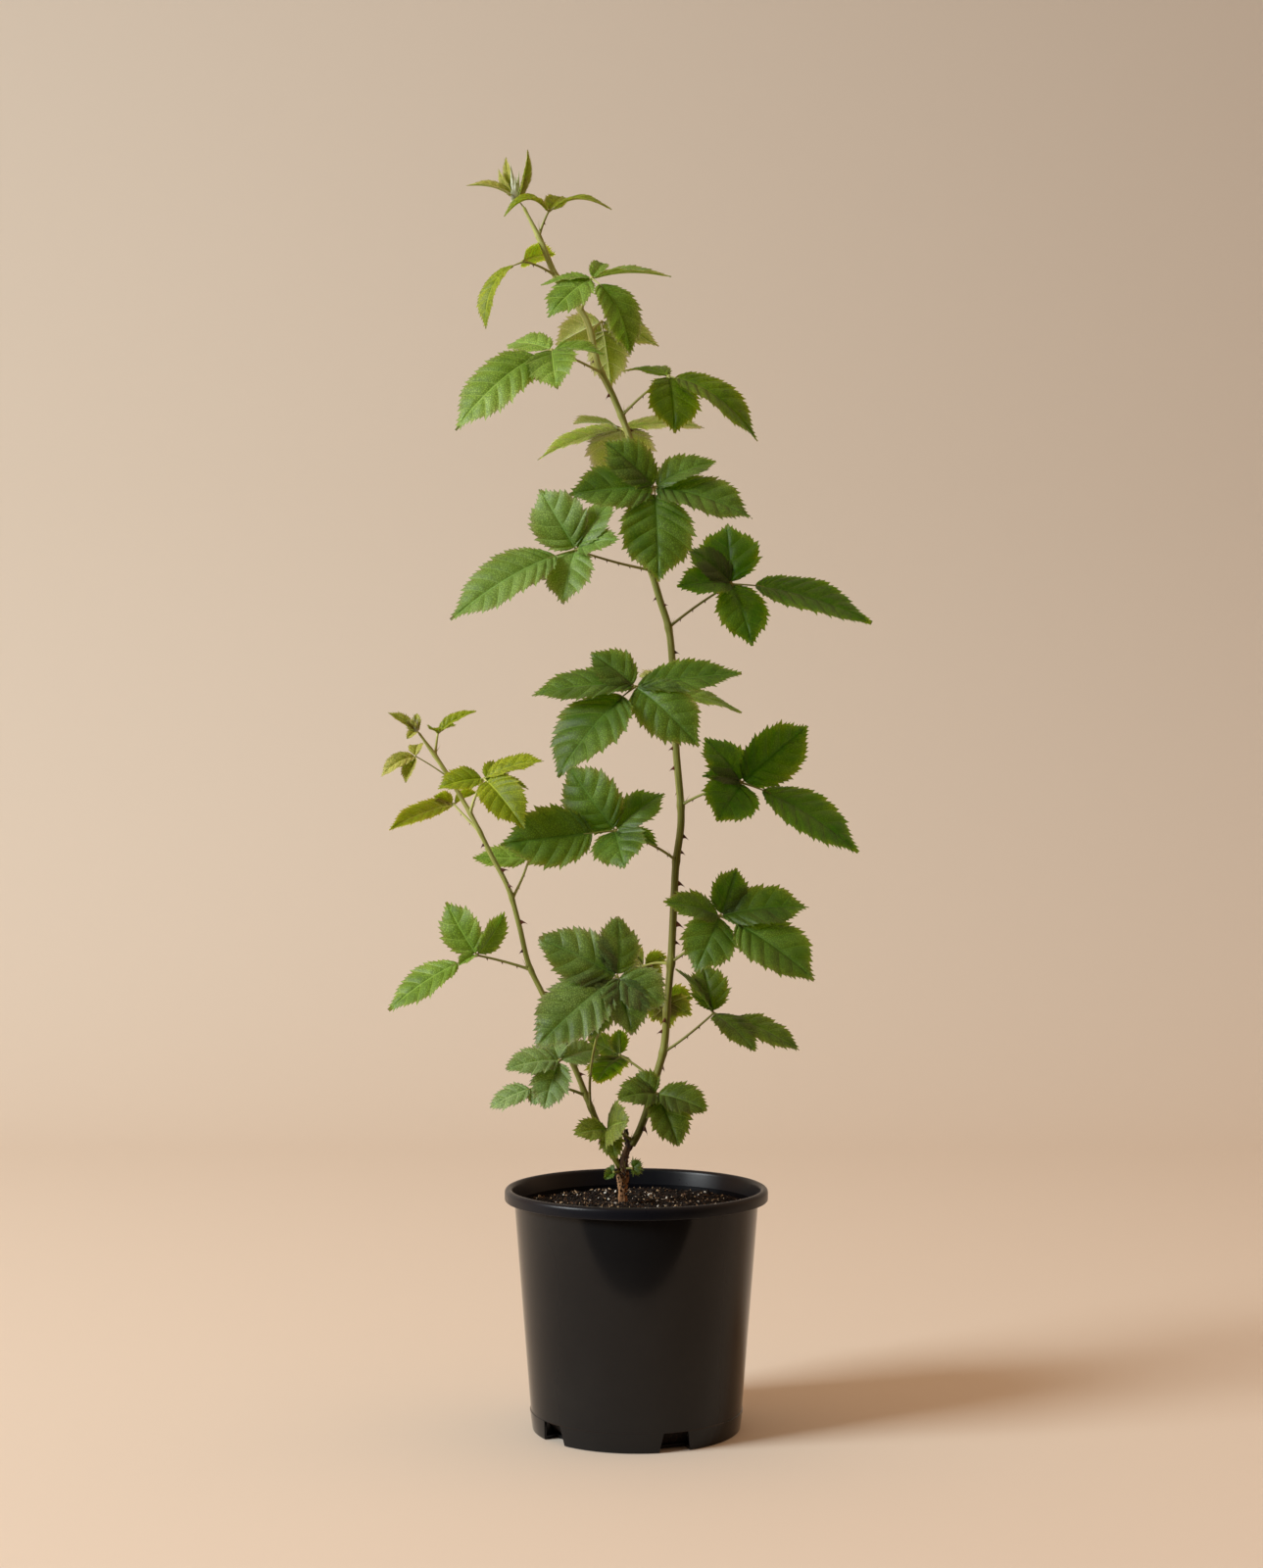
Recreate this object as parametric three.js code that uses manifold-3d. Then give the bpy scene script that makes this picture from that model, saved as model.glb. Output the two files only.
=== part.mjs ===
// A young bramble in a round plastic nursery pot: a woody stub, one long cane, one side cane,
// compound toothed leaves and two shoot tips. Millimetres, +Z up, -Y to the front.
// The origin is the centre of the pot's flat underside.
import * as THREE from 'three';
import { mergeVertices } from 'three/addons/utils/BufferGeometryUtils.js';
import Module from 'manifold-3d';

const wasm = await Module();
wasm.setup();

// Driving sizes of the pot and what fills it
const POT_HEIGHT = 181;
const RIM_RADIUS = 100;
const WALL_TOP_RADIUS = 92.8;
const WALL_FOOT_RADIUS = 79;
const WALL = 1.6;
const LIP_HEIGHT = 9;
const FOOT_BAND_HEIGHT = 15;
const FOOT_BAND_STEP = 0.4;
const EDGE_ROUND = 0.8;
const LIP_ROUND = 3;
const FLOOR = 2.5;
const POT_SIDES = 40;
const NOTCHES = 5;
const NOTCH_FIRST_DEG = -51;
const NOTCH_WIDTH = 25;
const NOTCH_TOP_WIDTH = 19;
const NOTCH_HEIGHT = 14.5;
const NOTCH_DEPTH = 12;
const SOIL_TOP = 167;
const SOIL_EDGE_WIDTH = 5;
const SOIL_EDGE_DROP = 2;
const SOIL_SIDES = 32;

// Sizes of the plant
const GAP = 0.3;
const SHORTEST_EDGE = 0.02;
const STUB_SIDES = 8;
const STUB_STEPS = 11;
const STUB_RADIUS = 4.3;
const STUB_WAIST = 1.1;
const KNUCKLE = 1.6;
// Where the stub's knuckle is and how far it spreads, as shares of the stub's length
const KNUCKLE_AT = 0.58;
const KNUCKLE_SPREAD = 0.12;
const SNAG_RADIUS = 2.4;
const CANE_SIDES = 6;
const LONG_CANE_STEPS = 40;
const SIDE_CANE_STEPS = 24;
const PRICKLE_EVERY = 30;
const PRICKLE_TO_LEAF = 7;
const PRICKLE_LENGTH = 3;
const PRICKLE_RADIUS = 1.1;
const PRICKLE_SIDES = 4;
// The share of a cane's length above which it has no prickles
const BARE_TIP_FROM = 0.93;
const PETIOLE_RADIUS = 1.3;
const PETIOLE_TAPER = 0.35;
const PETIOLE_SIDES = 4;
const PETIOLE_STEPS = 3;
// How far a petiole rises above the straight line to its hub, as a share of that line
const PETIOLE_RISE = 0.12;
const STALK_WIDTH = 1.6;
const HUB_RADIUS = 2.1;
const LEAFLET_START = 0.9;
const LEAF_THICKNESS = 0.9;
const LEAF_THICKNESS_SHARE = 0.0115;
const FOLD_DEG = 9;
// How high a leaflet arches, and where, as shares of its length
const ARCH = 0.07;
const CREST_SHARE = 0.45;
const SMALL_LEAFLET = 32;
// A blade's half widths, as shares of its greatest, at shares of its length from base to tip
const OUTLINE = [[0.16, 0.76], [0.44, 1.12], [0.77, 0.78]];
const SMALL_OUTLINE = [[0.25, 0.9], [0.62, 1.05]];

// The plant's places are written as [x, z, y] as they line up with the pot's axis when seen
// from the front, at this distance and height. Depth y, away from the front, moves a place
// along its line of sight.
const SIGHT = { x: -3.7, z: 458, distance: 1783 };

function place([x, z, y]) {
  const k = 1 + y / SIGHT.distance;
  return new THREE.Vector3(SIGHT.x + (x - SIGHT.x) * k, y, SIGHT.z + (z - SIGHT.z) * k);
}

function seededRandom(seed) {
  let state = seed;
  return () => {
    state = (state * 1664525 + 1013904223) % 4294967296;
    return state / 4294967296;
  };
}

const radians = THREE.MathUtils.degToRad;

// Solids and meshes
function toSolid(geometry) {
  geometry.deleteAttribute('normal');
  geometry.deleteAttribute('uv');
  const merged = mergeVertices(geometry, 1e-4);
  return new wasm.Manifold(new wasm.Mesh({
    numProp: 3,
    vertProperties: new Float32Array(merged.attributes.position.array),
    triVerts: new Uint32Array(merged.index.array),
  }));
}

function toGeometry(solid) {
  const mesh = solid.getMesh();
  const geometry = new THREE.BufferGeometry();
  geometry.setAttribute('position', new THREE.BufferAttribute(mesh.vertProperties, 3));
  geometry.setIndex(new THREE.BufferAttribute(mesh.triVerts, 1));
  geometry.computeVertexNormals();
  return geometry;
}

function union(solids) {
  return wasm.Manifold.union(solids);
}

// The largest of a solid's pieces, with slivers shorter than a named edge closed up
function largestPiece(solid) {
  const pieces = solid.simplify(SHORTEST_EDGE).decompose();
  return pieces.reduce((best, piece) => (piece.volume() > best.volume() ? piece : best));
}

function geometryOf(points, triangles) {
  const geometry = new THREE.BufferGeometry().setFromPoints(points);
  geometry.setIndex(triangles.flat());
  return geometry;
}

// A round limb along a curve, its radius a function of how far along it is from 0 to 1. grow
// makes it larger all over, for cutting a gap round it
function limb(curve, steps, sides, radiusAt, grow = 0) {
  const frames = curve.computeFrenetFrames(steps, false);
  const points = [];
  const triangles = [];
  for (let i = 0; i <= steps; i += 1) {
    const centre = curve.getPointAt(i / steps);
    if (i === 0) centre.addScaledVector(frames.tangents[i], -grow);
    if (i === steps) centre.addScaledVector(frames.tangents[i], grow);
    const radius = radiusAt(i / steps) + grow / Math.cos(Math.PI / sides);
    for (let j = 0; j < sides; j += 1) {
      const turn = (2 * Math.PI * j) / sides;
      points.push(centre.clone()
        .addScaledVector(frames.normals[i], Math.cos(turn) * radius)
        .addScaledVector(frames.binormals[i], Math.sin(turn) * radius));
    }
  }
  for (let i = 0; i < steps; i += 1) {
    for (let j = 0; j < sides; j += 1) {
      const a = i * sides + j;
      const b = i * sides + ((j + 1) % sides);
      triangles.push([a, b, b + sides], [a, b + sides, a + sides]);
    }
  }
  const end = steps * sides;
  for (let j = 1; j < sides - 1; j += 1) {
    triangles.push([0, j + 1, j], [end, end + j, end + j + 1]);
  }
  return toSolid(geometryOf(points, triangles));
}

// Points round a corner of a lathe profile about its centre, between two directions
function corner(r, z, radius, fromDeg, toDeg, steps) {
  return Array.from({ length: steps + 1 }, (_, i) => {
    const turn = radians(fromDeg + ((toDeg - fromDeg) * i) / steps);
    return [r + radius * Math.cos(turn), z + radius * Math.sin(turn)];
  });
}

// The pot
function potSolid() {
  const lipFoot = POT_HEIGHT - LIP_HEIGHT;
  const bandRadius = WALL_FOOT_RADIUS
    + ((WALL_TOP_RADIUS - WALL_FOOT_RADIUS) * FOOT_BAND_HEIGHT) / lipFoot;
  const profile = [
    [0, 0],
    ...corner(WALL_FOOT_RADIUS - EDGE_ROUND, EDGE_ROUND, EDGE_ROUND, -90, 0, 1),
    [bandRadius - FOOT_BAND_STEP, FOOT_BAND_HEIGHT - FOOT_BAND_STEP],
    [bandRadius, FOOT_BAND_HEIGHT],
    [WALL_TOP_RADIUS, lipFoot],
    ...corner(RIM_RADIUS - EDGE_ROUND, lipFoot + EDGE_ROUND, EDGE_ROUND, -90, 0, 1),
    ...corner(RIM_RADIUS - LIP_ROUND, POT_HEIGHT - LIP_ROUND, LIP_ROUND, 0, 180, 4),
    [WALL_TOP_RADIUS - WALL, lipFoot - LIP_ROUND],
    [WALL_FOOT_RADIUS - WALL, FLOOR],
    [0, FLOOR],
  ].map(([r, z]) => new THREE.Vector2(r, z));
  let pot = toSolid(uprightLathe(profile, POT_SIDES));
  for (let i = 0; i < NOTCHES; i += 1) {
    pot = pot.subtract(notchSolid(NOTCH_FIRST_DEG + (i * 360) / NOTCHES));
  }
  return pot;
}

function uprightLathe(profile, sides) {
  return new THREE.LatheGeometry(profile, sides).rotateX(Math.PI / 2);
}

// A drain notch at the pot's foot, turned from the front about the axis
function notchSolid(turnDeg) {
  const shape = new THREE.Shape([
    new THREE.Vector2(-NOTCH_WIDTH / 2, -1), new THREE.Vector2(NOTCH_WIDTH / 2, -1),
    new THREE.Vector2(NOTCH_TOP_WIDTH / 2, NOTCH_HEIGHT),
    new THREE.Vector2(-NOTCH_TOP_WIDTH / 2, NOTCH_HEIGHT),
  ]);
  const cut = new THREE.ExtrudeGeometry(shape, { depth: NOTCH_DEPTH + 10, bevelEnabled: false });
  cut.rotateX(Math.PI / 2);
  cut.translate(0, -(WALL_FOOT_RADIUS - NOTCH_DEPTH), 0);
  cut.rotateZ(radians(turnDeg));
  return toSolid(cut);
}

// The potting mix lies just inside the wall and floor, with a chamfer at its foot where the
// notches open into the pot
function soilSolid() {
  const lipFoot = POT_HEIGHT - LIP_HEIGHT;
  const slope = (WALL_TOP_RADIUS - WALL_FOOT_RADIUS) / lipFoot;
  const foot = FLOOR + GAP;
  const flatShare = Math.cos(Math.PI / POT_SIDES);
  const radiusAt = (z) => (WALL_FOOT_RADIUS - WALL + slope * (z - FLOOR) - GAP) * flatShare;
  const chamferTop = NOTCH_HEIGHT + FLOOR;
  const edgeTop = SOIL_TOP - SOIL_EDGE_DROP;
  const profile = [
    [0, foot],
    [radiusAt(foot) - NOTCH_DEPTH, foot],
    [radiusAt(chamferTop), chamferTop],
    [radiusAt(edgeTop), edgeTop],
    [radiusAt(SOIL_TOP) - SOIL_EDGE_WIDTH, SOIL_TOP],
    [0, SOIL_TOP],
  ].map(([r, z]) => new THREE.Vector2(r, z));
  return toSolid(uprightLathe(profile, SOIL_SIDES));
}

// Canes: each is a curve through hand-read places from foot to tip
function caneCurve(places) {
  return new THREE.CatmullRomCurve3(places.map(place), false, 'centripetal');
}

const STUB = caneCurve([
  [-10, SOIL_TOP - 6, 10], [-10.5, 178, 10], [-10.2, 190, 10], [-10, 198, 10],
  [-7.5, 208, 9.5], [-3, 216, 9],
]);
const SNAG = caneCurve([[-5.5, 211, 9], [-7.5, 218, 10], [-7.8, 225, 11]]);

const LONG_CANE = {
  curve: caneCurve([
    [-3.5, 213, 9], [1.9, 223, 8], [9.3, 243, 6], [16, 268, 5], [21, 287, 6], [23.8, 324, 7],
    [26.5, 354, 8], [28.8, 399, 10], [30.3, 427, 11], [34.2, 460, 12], [30.3, 515, 15],
    [27.5, 580, 19], [24.5, 607, 22], [16.8, 632, 24], [3.5, 683, 30], [-3, 744, 40],
    [-16.8, 782, 42], [-29, 808, 43], [-38, 842, 44], [-61.7, 877, 45], [-73, 903, 45],
    [-86, 929, 45],
  ]),
  steps: LONG_CANE_STEPS,
  radiusAt: (t) => 2.7 - 1.5 * t ** 1.6,
};

const SIDE_CANE = {
  curve: caneCurve([
    [-12.5, 196, 10], [-20.6, 210, 8], [-33.3, 238, 5], [-43, 262, 3], [-53.5, 287, 0],
    [-70.6, 326, -4], [-81.9, 350, -6], [-89.3, 380, -8], [-97.6, 408, -10],
    [-111, 434, -11], [-124, 460, -12], [-146.9, 499, -14], [-165.6, 526, -15],
  ]),
  steps: SIDE_CANE_STEPS,
  radiusAt: (t) => 2.3 - 1.25 * t,
};

// The point of a cane at a height, as seen from the front
function caneAt(cane, height) {
  let low = 0;
  let high = 1;
  while (high - low > 1e-4) {
    const middle = (low + high) / 2;
    const p = cane.curve.getPointAt(middle);
    const seen = SIGHT.z + (p.z - SIGHT.z) / (1 + p.y / SIGHT.distance);
    if (seen < height) low = middle;
    else high = middle;
  }
  return low;
}

function caneSolid(cane, grow) {
  return limb(cane.curve, cane.steps, CANE_SIDES, cane.radiusAt, grow);
}

// Small four-sided prickles up a cane, each pointing out and a little down, none of them at a leaf
function prickles(cane, seed, leafHeights) {
  const random = seededRandom(seed);
  const length = cane.curve.getLength();
  const leafFeet = leafHeights.map((height) => caneAt(cane, height) * length);
  const up = new THREE.Vector3(0, 1, 0);
  const solids = [];
  for (let along = PRICKLE_EVERY; along < length * BARE_TIP_FROM;) {
    const t = along / length;
    const side = random() < 0.5 ? -1 : 1;
    const out = new THREE.Vector3(side, (random() - 0.5) * 1.2, -0.45).normalize();
    if (leafFeet.every((leafFoot) => Math.abs(leafFoot - along) > PRICKLE_TO_LEAF)) {
      const reach = PRICKLE_LENGTH + cane.radiusAt(t);
      const prickle = new THREE.ConeGeometry(PRICKLE_RADIUS, reach, PRICKLE_SIDES);
      prickle.translate(0, reach / 2, 0);
      prickle.applyQuaternion(new THREE.Quaternion().setFromUnitVectors(up, out));
      const foot = cane.curve.getPointAt(t);
      prickle.translate(foot.x, foot.y, foot.z);
      solids.push(toSolid(prickle));
    }
    along += PRICKLE_EVERY * (0.7 + 0.6 * random());
  }
  return solids;
}

function stubSolid(grow) {
  const knobbly = (t) => STUB_RADIUS
    - STUB_WAIST * Math.sin(Math.PI * Math.min(1, t / KNUCKLE_AT))
    + KNUCKLE * Math.exp(-(((t - KNUCKLE_AT) / KNUCKLE_SPREAD) ** 2));
  const foot = STUB.getPointAt(0);
  const below = new THREE.BoxGeometry(40, 40, 20).translate(foot.x, foot.y, SOIL_TOP + GAP - 10);
  return union([
    limb(STUB, STUB_STEPS, STUB_SIDES, knobbly, grow),
    limb(SNAG, 2, STUB_SIDES - 3, (t) => SNAG_RADIUS * (1 - 0.4 * t), grow),
  ]).subtract(toSolid(below));
}

// The direction that a leaf's upper face looks in: tilt up from the front, then swing to the right
function faceOf(tiltDeg, swingDeg) {
  const tilt = radians(tiltDeg);
  const swing = radians(swingDeg);
  return new THREE.Vector3(
    Math.sin(swing) * Math.cos(tilt), -Math.cos(swing) * Math.cos(tilt), Math.sin(tilt),
  );
}

// A folded and arched leaflet of one piece, its rib from the hub to the tip. A long stalk is the
// rib's first stretch, up to from; a side leaflet widens straight out of the hub.
function leafletSolid(rib, from, face, width) {
  const small = rib.getLength() < SMALL_LEAFLET;
  const onBlade = (t) => from + (1 - from) * t;
  const ribAt = small ? [0, onBlade(0.45), 1] : [0, onBlade(0.33), onBlade(0.68), 1];
  const outline = small ? SMALL_OUTLINE : OUTLINE;
  const edge = [
    { t: 0, half: STALK_WIDTH / 2 },
    ...(from > 0 ? [{ t: from, half: STALK_WIDTH / 2 }] : []),
    ...outline.map(([t, share]) => ({ t: onBlade(t), half: (width / 2) * share })),
    { t: 1, half: 0 },
  ];
  const edgeAt = edge.map(({ t }) => t);
  const frameAt = (t) => {
    const along = rib.getTangentAt(t);
    const normal = face.clone().addScaledVector(along, -face.dot(along)).normalize();
    const side = new THREE.Vector3().crossVectors(along, normal);
    return { centre: rib.getPointAt(t), normal, side };
  };
  const middle = ribAt.map((t) => rib.getPointAt(t));
  const tip = middle.length - 1;
  const sideEdge = (sign) => edge.slice(0, -1).map(({ t, half }) => {
    const { centre, normal, side } = frameAt(t);
    return centre.clone()
      .addScaledVector(side, sign * half * Math.cos(radians(FOLD_DEG)))
      .addScaledVector(normal, half * Math.sin(radians(FOLD_DEG)));
  });
  const sheet = [...middle, ...sideEdge(1), ...sideEdge(-1)];
  const ribIndex = [...middle.keys()];
  const edgeCount = edge.length - 1;
  const right = [...Array(edgeCount).keys()].map((i) => middle.length + i);
  const left = right.map((i) => i + edgeCount);
  const upper = [
    ...strip(ribIndex, ribAt, [...right, tip], edgeAt),
    ...strip(ribIndex, ribAt, [...left, tip], edgeAt).map(flipped),
  ];
  const thickness = Math.max(LEAF_THICKNESS, LEAF_THICKNESS_SHARE * rib.getLength());
  const around = [0, ...right, tip, ...left.reverse()];
  return sheetSolid(sheet, upper, around, frameAt(0.5).normal, thickness);
}

// A thin solid from a sheet's points, its upper triangles and its outline
function sheetSolid(sheet, upper, outline, normal, thickness) {
  const below = sheet.length;
  const points = [
    ...sheet.map((p) => p.clone().addScaledVector(normal, thickness / 2)),
    ...sheet.map((p) => p.clone().addScaledVector(normal, -thickness / 2)),
  ];
  const under = upper.map((f) => flipped(f.map((v) => v + below)));
  const rim = outline.flatMap((a, i) => {
    const b = outline[(i + 1) % outline.length];
    return [[a, a + below, b], [b, a + below, b + below]];
  });
  return toSolid(geometryOf(points, [...upper, ...under, ...rim]));
}

function flipped([a, b, c]) {
  return [a, c, b];
}

// Triangles between a rib and an edge that share the tip
function strip(rib, ribAt, edge, edgeAt) {
  const faces = [];
  let i = 0;
  let j = 0;
  while (i < rib.length - 1 || j < edge.length - 1) {
    const ribNext = i < rib.length - 1 ? ribAt[i + 1] : Infinity;
    const edgeNext = j < edge.length - 1 ? edgeAt[j + 1] : Infinity;
    const next = ribNext < edgeNext ? rib[i + 1] : edge[j + 1];
    const face = [rib[i], edge[j], next];
    if (ribNext < edgeNext) i += 1;
    else j += 1;
    if (new Set(face).size === 3) faces.push(face);
  }
  return faces;
}

// A leaflet from its row: its tip is [dx, dz, dy] from the hub, as seen from the front
function leafletOf(leaf, row, index) {
  const [dx, dz, dy, width, tilt = leaf.tilt, swing = leaf.swing, arch = ARCH] = row;
  const base = place(leaf.hub);
  const tip = place([leaf.hub[0] + dx, leaf.hub[1] + dz, leaf.hub[2] + dy]);
  const face = faceOf(tilt, swing);
  const chord = tip.clone().sub(base);
  const lift = face.clone().addScaledVector(chord, -face.dot(chord) / chord.lengthSq()).normalize();
  const crest = base.clone().addScaledVector(chord, CREST_SHARE);
  crest.addScaledVector(lift, 2 * arch * chord.length());
  const start = base.clone().lerp(tip, LEAFLET_START / chord.length());
  const rib = new THREE.QuadraticBezierCurve3(start, crest, tip);
  const stalk = index === leaf.terminal ? leaf.stalk : 0;
  return leafletSolid(rib, stalk / rib.getLength(), face, width);
}

// A compound leaf: a bent petiole from its cane to the hub, and leaflets out of the hub
function leafSolid(leaf) {
  const hub = place(leaf.hub);
  const foot = leaf.cane.curve.getPointAt(caneAt(leaf.cane, leaf.at));
  const bend = leaf.via
    ? place(leaf.via)
    : foot.clone().lerp(hub, 0.5).add(new THREE.Vector3(0, 0, PETIOLE_RISE * foot.distanceTo(hub)));
  const petiole = new THREE.QuadraticBezierCurve3(foot, bend, hub);
  return union([
    limb(petiole, PETIOLE_STEPS, PETIOLE_SIDES, (t) => PETIOLE_RADIUS - PETIOLE_TAPER * t),
    toSolid(new THREE.OctahedronGeometry(HUB_RADIUS).translate(hub.x, hub.y, hub.z)),
    ...leaf.leaflets.map((leaflet, i) => leafletOf(leaf, leaflet, i)),
  ]);
}

// Leaves of the long cane from its foot up. at is the height of the leaf's foot on its cane, hub
// is where the leaflets meet, and each leaflet is [dx, dz, dy, width, tilt, swing, arch].
const UNDER = 180;
const LONG_LEAVES = [
  { name: 'leaf_foot', at: 216, hub: [-22, 224.7, -12], tilt: 30, leaflets: [
    [-25, -4, -14, 21], [6.5, -21.7, -10, 17], [15.5, 6, -30, 34, 20, -60],
  ] },
  { name: 'leaf_long_01', at: 243, hub: [16, 251.6, -12], tilt: 40, leaflets: [
    [37.4, -12.7, -14, 30], [15.7, -39.6, -18, 32], [-29.9, -3.7, -18, 28], [-16, 15, 4, 20],
  ] },
  { name: 'leaf_long_02', at: 261, hub: [-12.3, 280.8, 14], via: [3, 272, 10],
    tilt: 30, swing: UNDER, leaflets: [
    [-17.9, -20.9, 30, 32], [-0.7, 19.4, -8, 14], [-24.7, 12, 12, 22],
  ] },
  { name: 'leaf_long_03', at: 283, hub: [58.7, 312.9, -6], via: [37, 293, 0],
    tilt: 45, stalk: 18, leaflets: [
    [65, -27.7, -10, 28, 50], [31.4, -29.2, -32, 26, 36], [-29, 33.6, -6, 20, 60, 60],
    [-8, 36, 16, 30, 20, 10],
  ] },
  { name: 'leaf_long_04', at: 314, hub: [19.8, 324, 27], tilt: 20, swing: UNDER, leaflets: [
    [23.2, 0, 14, 20], [22, -12.5, 6, 19], [5.5, -22.4, 8, 17], [-7.5, -17, 12, 18],
    [-18, 6, 16, 20, 30, 130],
  ] },
  { name: 'leaf_long_05', at: 350, hub: [5.6, 348.8, 32], tilt: 30, swing: UNDER, leaflets: [
    [-20, -2, 22, 22, 30, 140], [17.2, 7, 8, 17], [14.2, -9, 2, 13], [-13, 14, 16, 18, 20, 130],
  ] },
  { name: 'leaf_long_06', at: 352, hub: [63.9, 386.9, -14], via: [44, 362, -4],
    tilt: 35, stalk: 17, leaflets: [
    [71.8, -48.6, -28, 50, 22], [67.3, 6.7, 2, 38, 40], [12.5, 36.6, 8, 28, 25],
    [-43.4, 10.5, -14, 28, 46], [-19.2, -42.6, -22, 40, 20],
  ] },
  { name: 'leaf_long_07', at: 429, hub: [-16.1, 452, -32], via: [14, 443, -8],
    tilt: 40, stalk: 19, leaflets: [
    [-87.5, -10.5, -18, 47, 12, 0, 0.02], [-35.9, 50.1, 4, 44, 20], [37.4, 28.4, 8, 32, 50],
    [7.5, -28.4, -34, 40, 40], [32.1, -11.2, -14, 20, 60],
  ] },
  { name: 'leaf_long_08', at: 471, hub: [80.4, 488.6, -4], via: [50, 482, 2],
    tilt: 40, stalk: 19, leaflets: [
    [89, -53.1, -18, 44, 38], [50.1, 43.4, 14, 42, 20], [-28.4, 33.6, 12, 32, 40],
    [-29.9, 5, -8, 20, 55], [-19.4, -29.2, -28, 42, 30],
  ] },
  { name: 'leaf_long_09', at: 545, hub: [30.3, 556, 56], tilt: 50, swing: UNDER, leaflets: [
    [8, 6, 70, 34, 70], [50.1, -14.2, 14, 26, 80, 0], [-28, 14, 34, 26, 50, 110], [4, -32, 34, 30, 20],
  ] },
  { name: 'leaf_long_10', at: 537, hub: [-1.1, 561.9, -48], via: [16, 552, -14],
    tilt: 30, stalk: 15, leaflets: [
    [-59.1, -68.8, -32, 51, 18], [-78.5, -7.5, -6, 40, 48], [-33.6, 25.4, 4, 32, 45],
    [81.5, 10.5, 2, 36, 50, 0, 0.02], [48.6, -45.6, -18, 42, 22, 0, 0.12],
  ] },
  { name: 'leaf_long_11', at: 607, hub: [72.9, 640.4, 10], via: [50, 628, 16],
    tilt: 35, stalk: 20, leaflets: [
    [106.9, -29.9, -14, 44, 40], [-3.7, 45.6, 16, 46, 15, 0, 0], [-35.1, 27.7, -4, 30, 40],
    [-41.9, -2.2, -26, 30, 40], [15.7, -47.1, -20, 38, 20, 10],
  ] },
  { name: 'leaf_long_12', at: 651, hub: [-46, 666.5, -26], via: [-17, 656, -2],
    tilt: 35, stalk: 20, leaflets: [
    [-95.7, -53.8, -30, 42, 42, 0, 0.09], [-27.7, 46.4, 2, 42, 20, -15], [29.9, 38.9, 6, 30, 50],
    [32.9, 8.2, -18, 26, 45], [-10.5, -41.1, -24, 36, 25, -15],
  ] },
  { name: 'leaf_long_13', at: 683, hub: [13.8, 714.4, -36], via: [8, 704, -6],
    tilt: 30, stalk: 8, leaflets: [
    [3, -72.5, -28, 53, 15], [-65, -5.2, -12, 42, 28, 0, 0.04], [-38.9, 35.9, -8, 34, 35],
    [47.1, 19.4, 6, 32, 52], [74.8, -23.9, -18, 44, 34],
  ] },
  { name: 'leaf_long_14', at: 751, hub: [-12.3, 759.3, 76], tilt: 30, swing: UNDER, leaflets: [
    [2.2, -42, 26, 54, 0], [-63.5, -23.9, 4, 32, 78], [-35.9, 4, 22, 26, 80], [64.3, 0.7, 8, 32, 78],
  ] },
  { name: 'leaf_long_15', at: 769, hub: [25, 799.6, 22], via: [8, 790, 34],
    tilt: 40, stalk: 6, leaflets: [
    [67.3, -50.1, -8, 34, 52, 0, 0.14], [4.5, -43.4, -20, 40, 22], [-34.4, 3.7, 42, 26, 66],
  ] },
  { name: 'leaf_long_16', at: 802, hub: [-64.7, 819.8, -8], via: [-44, 812, 18],
    tilt: 40, stalk: 17, leaflets: [
    [-74, -61.3, -22, 40, 30, 0, 0.13], [3.7, -29.9, -38, 36, 50], [-34, 4, 34, 28, 55],
    [40.4, -3.7, -4, 26, 60],
  ] },
  { name: 'leaf_long_17', at: 832, hub: [-26.5, 841.5, 62],
    tilt: 30, swing: UNDER, terminal: 1, stalk: 8, leaflets: [
    [-35, -18, 20, 28], [7, -50, 18, 32, 20], [43.4, -19.4, 18, 28, 60],
  ] },
  { name: 'leaf_long_18', at: 850, hub: [-34, 875.1, 6], via: [-36, 866, 26],
    tilt: 40, terminal: 1, stalk: 10, leaflets: [
    [-33.6, -29.9, -16, 31, 30], [29, -59, -6, 34, 30, 30, 0.16], [60.6, 0.7, 2, 32, 74],
    [-38.9, -6, 6, 16, 60], [9.7, 11.2, 28, 14],
  ] },
  { name: 'leaf_long_19', at: 876, hub: [-87.1, 887.8, 26], tilt: 45, stalk: 10, leaflets: [
    [-28.4, -51.6, -12, 22, 35, -50, 0.19], [25.4, 5.2, 42, 20, 34, -115],
  ] },
  { name: 'leaf_long_20', at: 907, hub: [-66.9, 926.7, 42], tilt: 60, stalk: 5, leaflets: [
    [47.8, 0.7, -4, 20, 68, 0, 0.19], [10.5, 11.2, 24, 17, 40], [-34.4, -4.5, -16, 14, 60, 0, 0.3],
  ] },
];

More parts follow.
